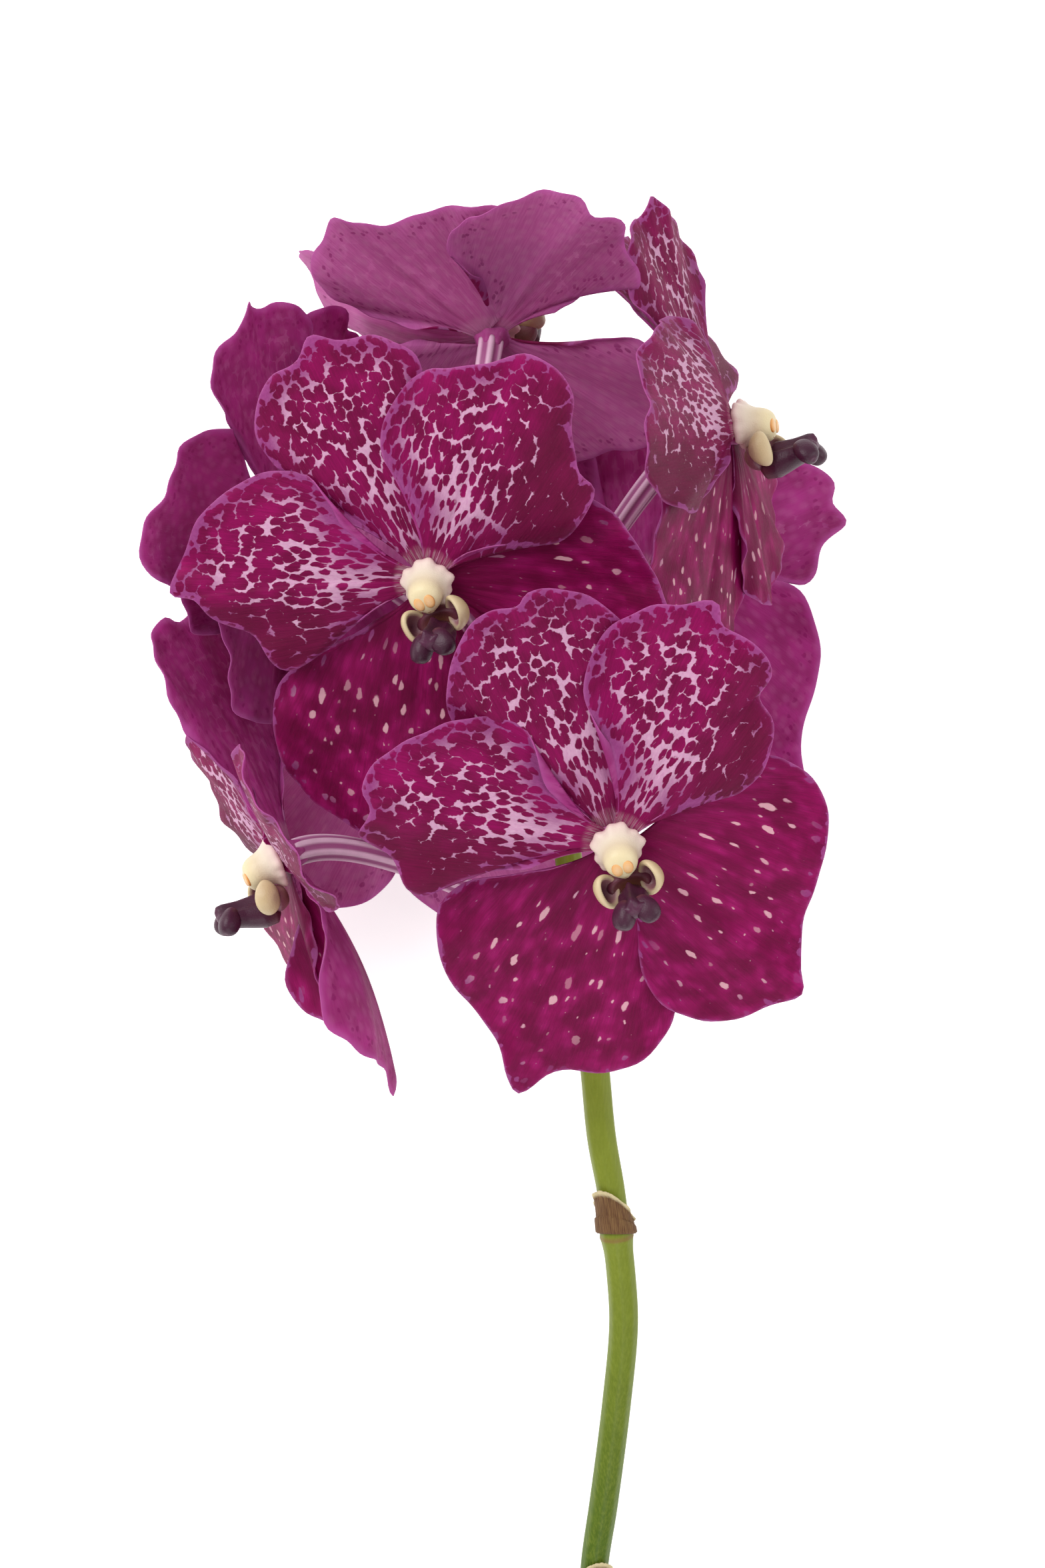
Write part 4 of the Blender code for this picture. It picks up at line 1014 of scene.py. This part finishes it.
def make_bract(name, node_y, height, lean_side, material):
    """A papery scale round the stem, from just above the node to its height.

    Its height falls away from its front with the cosine of the turn, and its margin curls outwards in waves.
    """
    rachis = smooth_line(STEM_LINE, 1200)
    share = np.linspace(0, 1, 26)[:, None]
    turn = np.radians(np.linspace(-125, 125, 66))[None, :]
    drop = (1 - np.cos(turn)) / 2
    y = node_y + 0.6 + share * (height * (1 - drop) + 0.9)
    spot = np.abs(rachis[None, None, :, 1] - y[..., None]).argmin(-1)
    inner = stem_radius(rachis[spot, 1])
    inner = np.maximum(inner, np.where(share < 0.4, stem_radius(node_y), 0.0))
    curl = 0.25 * rise(share, 0.8, 1.0) * (1 + np.sin(9 * turn + 1))
    radius = inner + JOINT_GAP + BRACT_THICKNESS / 2 - 0.12 + curl
    angle = turn + math.radians(lean_side)
    outward = np.stack([np.sin(angle) + 0 * y, 0 * y, np.cos(angle) + 0 * y], -1)
    middle = rachis[spot] + radius[..., None] * outward
    marks = np.stack([share + 0 * turn, 0 * share + turn, 0 * y], -1)
    thickness = BRACT_THICKNESS * (0.8 - 0.5 * share) + 0 * turn
    shell = Shell()
    shell.add(*sheet_shell(middle, thickness, marks, marks))
    return shell.object(name, ("marks",), [material])


def stalk_material(skin):
    """Pink white ribs with mauve grooves, greener towards the rachis."""
    material, tree, output = new_material("stalk_skin")
    ridge, along, _ = apart(tree, attribute(tree, "marks"))
    colour = mixed(tree, step_up(tree, ridge, 0.15, 0.85), (0.36, 0.09, 0.24), (0.74, 0.47, 0.62))
    colour = mixed(tree, step_down(tree, along, 0.0, 0.35, 0.55), colour, (0.52, 0.42, 0.25))
    skinned = on_skin(tree, skin, colour, 1300.0, 0.3)
    normal = raised(tree, skinned.outputs["Height"], 0.0002, 0.25)
    end_material(tree, output, {"Base Color": skinned.outputs["Colour"], "Roughness": 0.45, "Normal": normal,
                                "Specular IOR Level": 0.3}, {"Color": skinned.outputs["Colour"]}, 0.15)
    return material


def stem_material(skin):
    """Green skin with fine lengthwise lines.

    It is yellower towards the head, with dry rings at the nodes and a pale cut end.
    """
    material, tree, output = new_material("stem_skin")
    along, node, cut = apart(tree, attribute(tree, "marks"))
    place = add_node(tree, "TexCoord").outputs["Object"]
    lines = noise(tree, vector_calc(tree, "MULTIPLY", place, (2600.0, 90.0, 2600.0)), 1.0, 3.0, 0.6)
    colour = mixed(tree, step_up(tree, along, 0.0, 0.42), (0.045, 0.095, 0.003), (0.17, 0.205, 0.018))
    colour = mixed(tree, step_up(tree, lines, 0.35, 0.75, 0.0, 0.35), colour, (0.23, 0.27, 0.035))
    colour = mixed(tree, step_up(tree, node, 0.45, 0.95, 0.0, 0.75), colour, (0.20, 0.11, 0.035))
    colour = mixed(tree, step_up(tree, cut, 0.2, 0.9), colour, (0.55, 0.58, 0.30))
    skinned = on_skin(tree, skin, colour, 700.0, 0.35)
    end_material(tree, output, {"Base Color": skinned.outputs["Colour"], "Roughness": 0.42,
                                "Normal": raised(tree, lines, 0.0002, 0.3), "Specular IOR Level": 0.2})
    return material


def bract_material(skin):
    """Dry brown papery skin with lengthwise veins and a cream margin."""
    material, tree, output = new_material("bract_skin")
    share, turn, _ = apart(tree, attribute(tree, "marks"))
    flat = joined(tree, times(tree, share, 1.5), times(tree, turn, 16.0))
    veins = noise(tree, flat, 1.0, 3.0, 0.6)
    colour = mixed(tree, step_up(tree, veins, 0.3, 0.7), (0.085, 0.03, 0.014), (0.22, 0.12, 0.045))
    colour = mixed(tree, step_up(tree, share, 0.86, 0.97), colour, (0.62, 0.52, 0.30))
    skinned = on_skin(tree, skin, colour, 1500.0, 0.5)
    end_material(tree, output, {"Base Color": skinned.outputs["Colour"], "Roughness": 0.7,
                                "Normal": raised(tree, veins, 0.0003, 0.5), "Specular IOR Level": 0.25},
                 {"Color": skinned.outputs["Colour"]}, 0.1)
    return material


def dress(item, slot, *nodes):
    """Lets a piece ride on the spray and stand for its solids, which it hides. Its slot is not used."""
    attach(item, "root")
    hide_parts(*nodes)


def turned_matrix(columns, spot):
    """The matrix whose columns are an object's three directions, at its place."""
    rows = [(*row, float(at)) for row, at in zip(np.asarray(columns).T.tolist(), spot)]
    return Matrix(rows + [(0.0, 0.0, 0.0, 1.0)])


def make_stage():
    """A pale floor and soft studio light."""
    size = FLOOR_HALF_WIDTH
    mesh = bpy.data.meshes.new("floor")
    corners = [(-size, -size, 0), (size, -size, 0), (size, size, 0), (-size, size, 0)]
    mesh.from_pydata(corners, [], [(0, 1, 2, 3)])
    floor = bpy.data.objects.new("floor", mesh)
    bpy.context.scene.collection.objects.link(floor)
    material, tree, output = new_material("floor_paper")
    place = add_node(tree, "TexCoord").outputs["Object"]
    fibre = noise(tree, place, 900.0, 3.0)
    colour = mixed(tree, fibre, (0.90, 0.90, 0.90), (0.93, 0.93, 0.93))
    end_material(tree, output, {"Base Color": colour, "Roughness": 0.9, "Specular IOR Level": 0.1,
                                "Emission Color": (1.0, 1.0, 1.0), "Emission Strength": FLOOR_GLOW})
    mesh.materials.append(material)
    sky = bpy.data.worlds.new("studio")
    sky.use_nodes = True
    backdrop = next(node for node in sky.node_tree.nodes if node.type == "BACKGROUND")
    backdrop.inputs[0].default_value = (1.0, 1.0, 1.0, 1.0)
    backdrop.inputs[1].default_value = SKY_STRENGTH
    bpy.context.scene.world = sky
    for name, place, width, power in LAMPS:
        lamp = bpy.data.lights.new(name, "AREA")
        lamp.shape = "DISK"
        lamp.size = width
        lamp.energy = power
        item = bpy.data.objects.new(name, lamp)
        bpy.context.scene.collection.objects.link(item)
        away = unit(np.array(place) - np.array(LAMP_AIM))
        first = unit(np.cross((0.0, 1.0, 0.2), away))
        item.matrix_world = turned_matrix([first, np.cross(away, first), away], place)


def make_camera():
    """A camera over the spray at the photograph's angle: its axes are the plan's axes."""
    lens = bpy.data.cameras.new("camera")
    lens.sensor_fit = "VERTICAL"
    lens.sensor_height = 36.0
    lens.lens = lens.sensor_height * EYE_HEIGHT / (PHOTO_HEIGHT / PIXELS_PER_MILLIMETRE)
    lens.clip_end = 20.0
    item = bpy.data.objects.new("camera", lens)
    bpy.context.scene.collection.objects.link(item)
    spot = rest_turn() @ np.array([0.0, 0.0, EYE_HEIGHT]) + np.array(GROUND_SHIFT)
    item.matrix_world = turned_matrix(rest_turn().T, spot * METRES_PER_MILLIMETRE)
    bpy.context.scene.camera = item


make_camera()
make_stage()
plant_skin = make_grain_group()
petal_skin = petal_material(make_petal_group())
column_skin = fleshy_material("column_skin", plant_skin, COLUMN_COLOURS, 0.38, 0.2, 0.12)
pollen_skin = fleshy_material("pollen_skin", plant_skin, POLLEN_COLOURS, 0.35, 0.1, 0.2)
cup_skin = fleshy_material("lip_cup_skin", plant_skin, CUP_COLOURS, 0.34, 0.12, 0.2)
throat_skin = fleshy_material("lip_throat_skin", plant_skin, THROAT_COLOURS, 0.4, 0.05, 0.5)
tongue_skin = fleshy_material("lip_tongue_skin", plant_skin, TONGUE_COLOURS, 0.4, 0.06, 0.7)
stalk_skin = stalk_material(plant_skin)
for bloom in BLOOMS:
    label = f"bloom_{bloom:02d}"
    dress(bloom_petals(bloom, petal_skin), "petal_magenta", f"{label}_tepals")
    dress(bloom_column(bloom, column_skin, pollen_skin), "column_cream", f"{label}_column")
    dress(bloom_lip(bloom, cup_skin, throat_skin, tongue_skin), "lip_purple", f"{label}_lip")
    dress(bloom_stalk(bloom, stalk_skin), "stalk_pink", f"{label}_stalk")
dress(make_stem(stem_material(plant_skin)), "stem_green", "stem")
bract_skin = bract_material(plant_skin)
dress(make_bract("bract_upper_paper", UPPER_NODE_Y, 7.0, -35.0, bract_skin), "bract_brown", "bract_upper")
dress(make_bract("bract_lower_paper", LOWER_NODE_Y, 7.0, 20.0, bract_skin), "bract_brown", "bract_lower")
bpy.context.scene.view_settings.view_transform = "Standard"
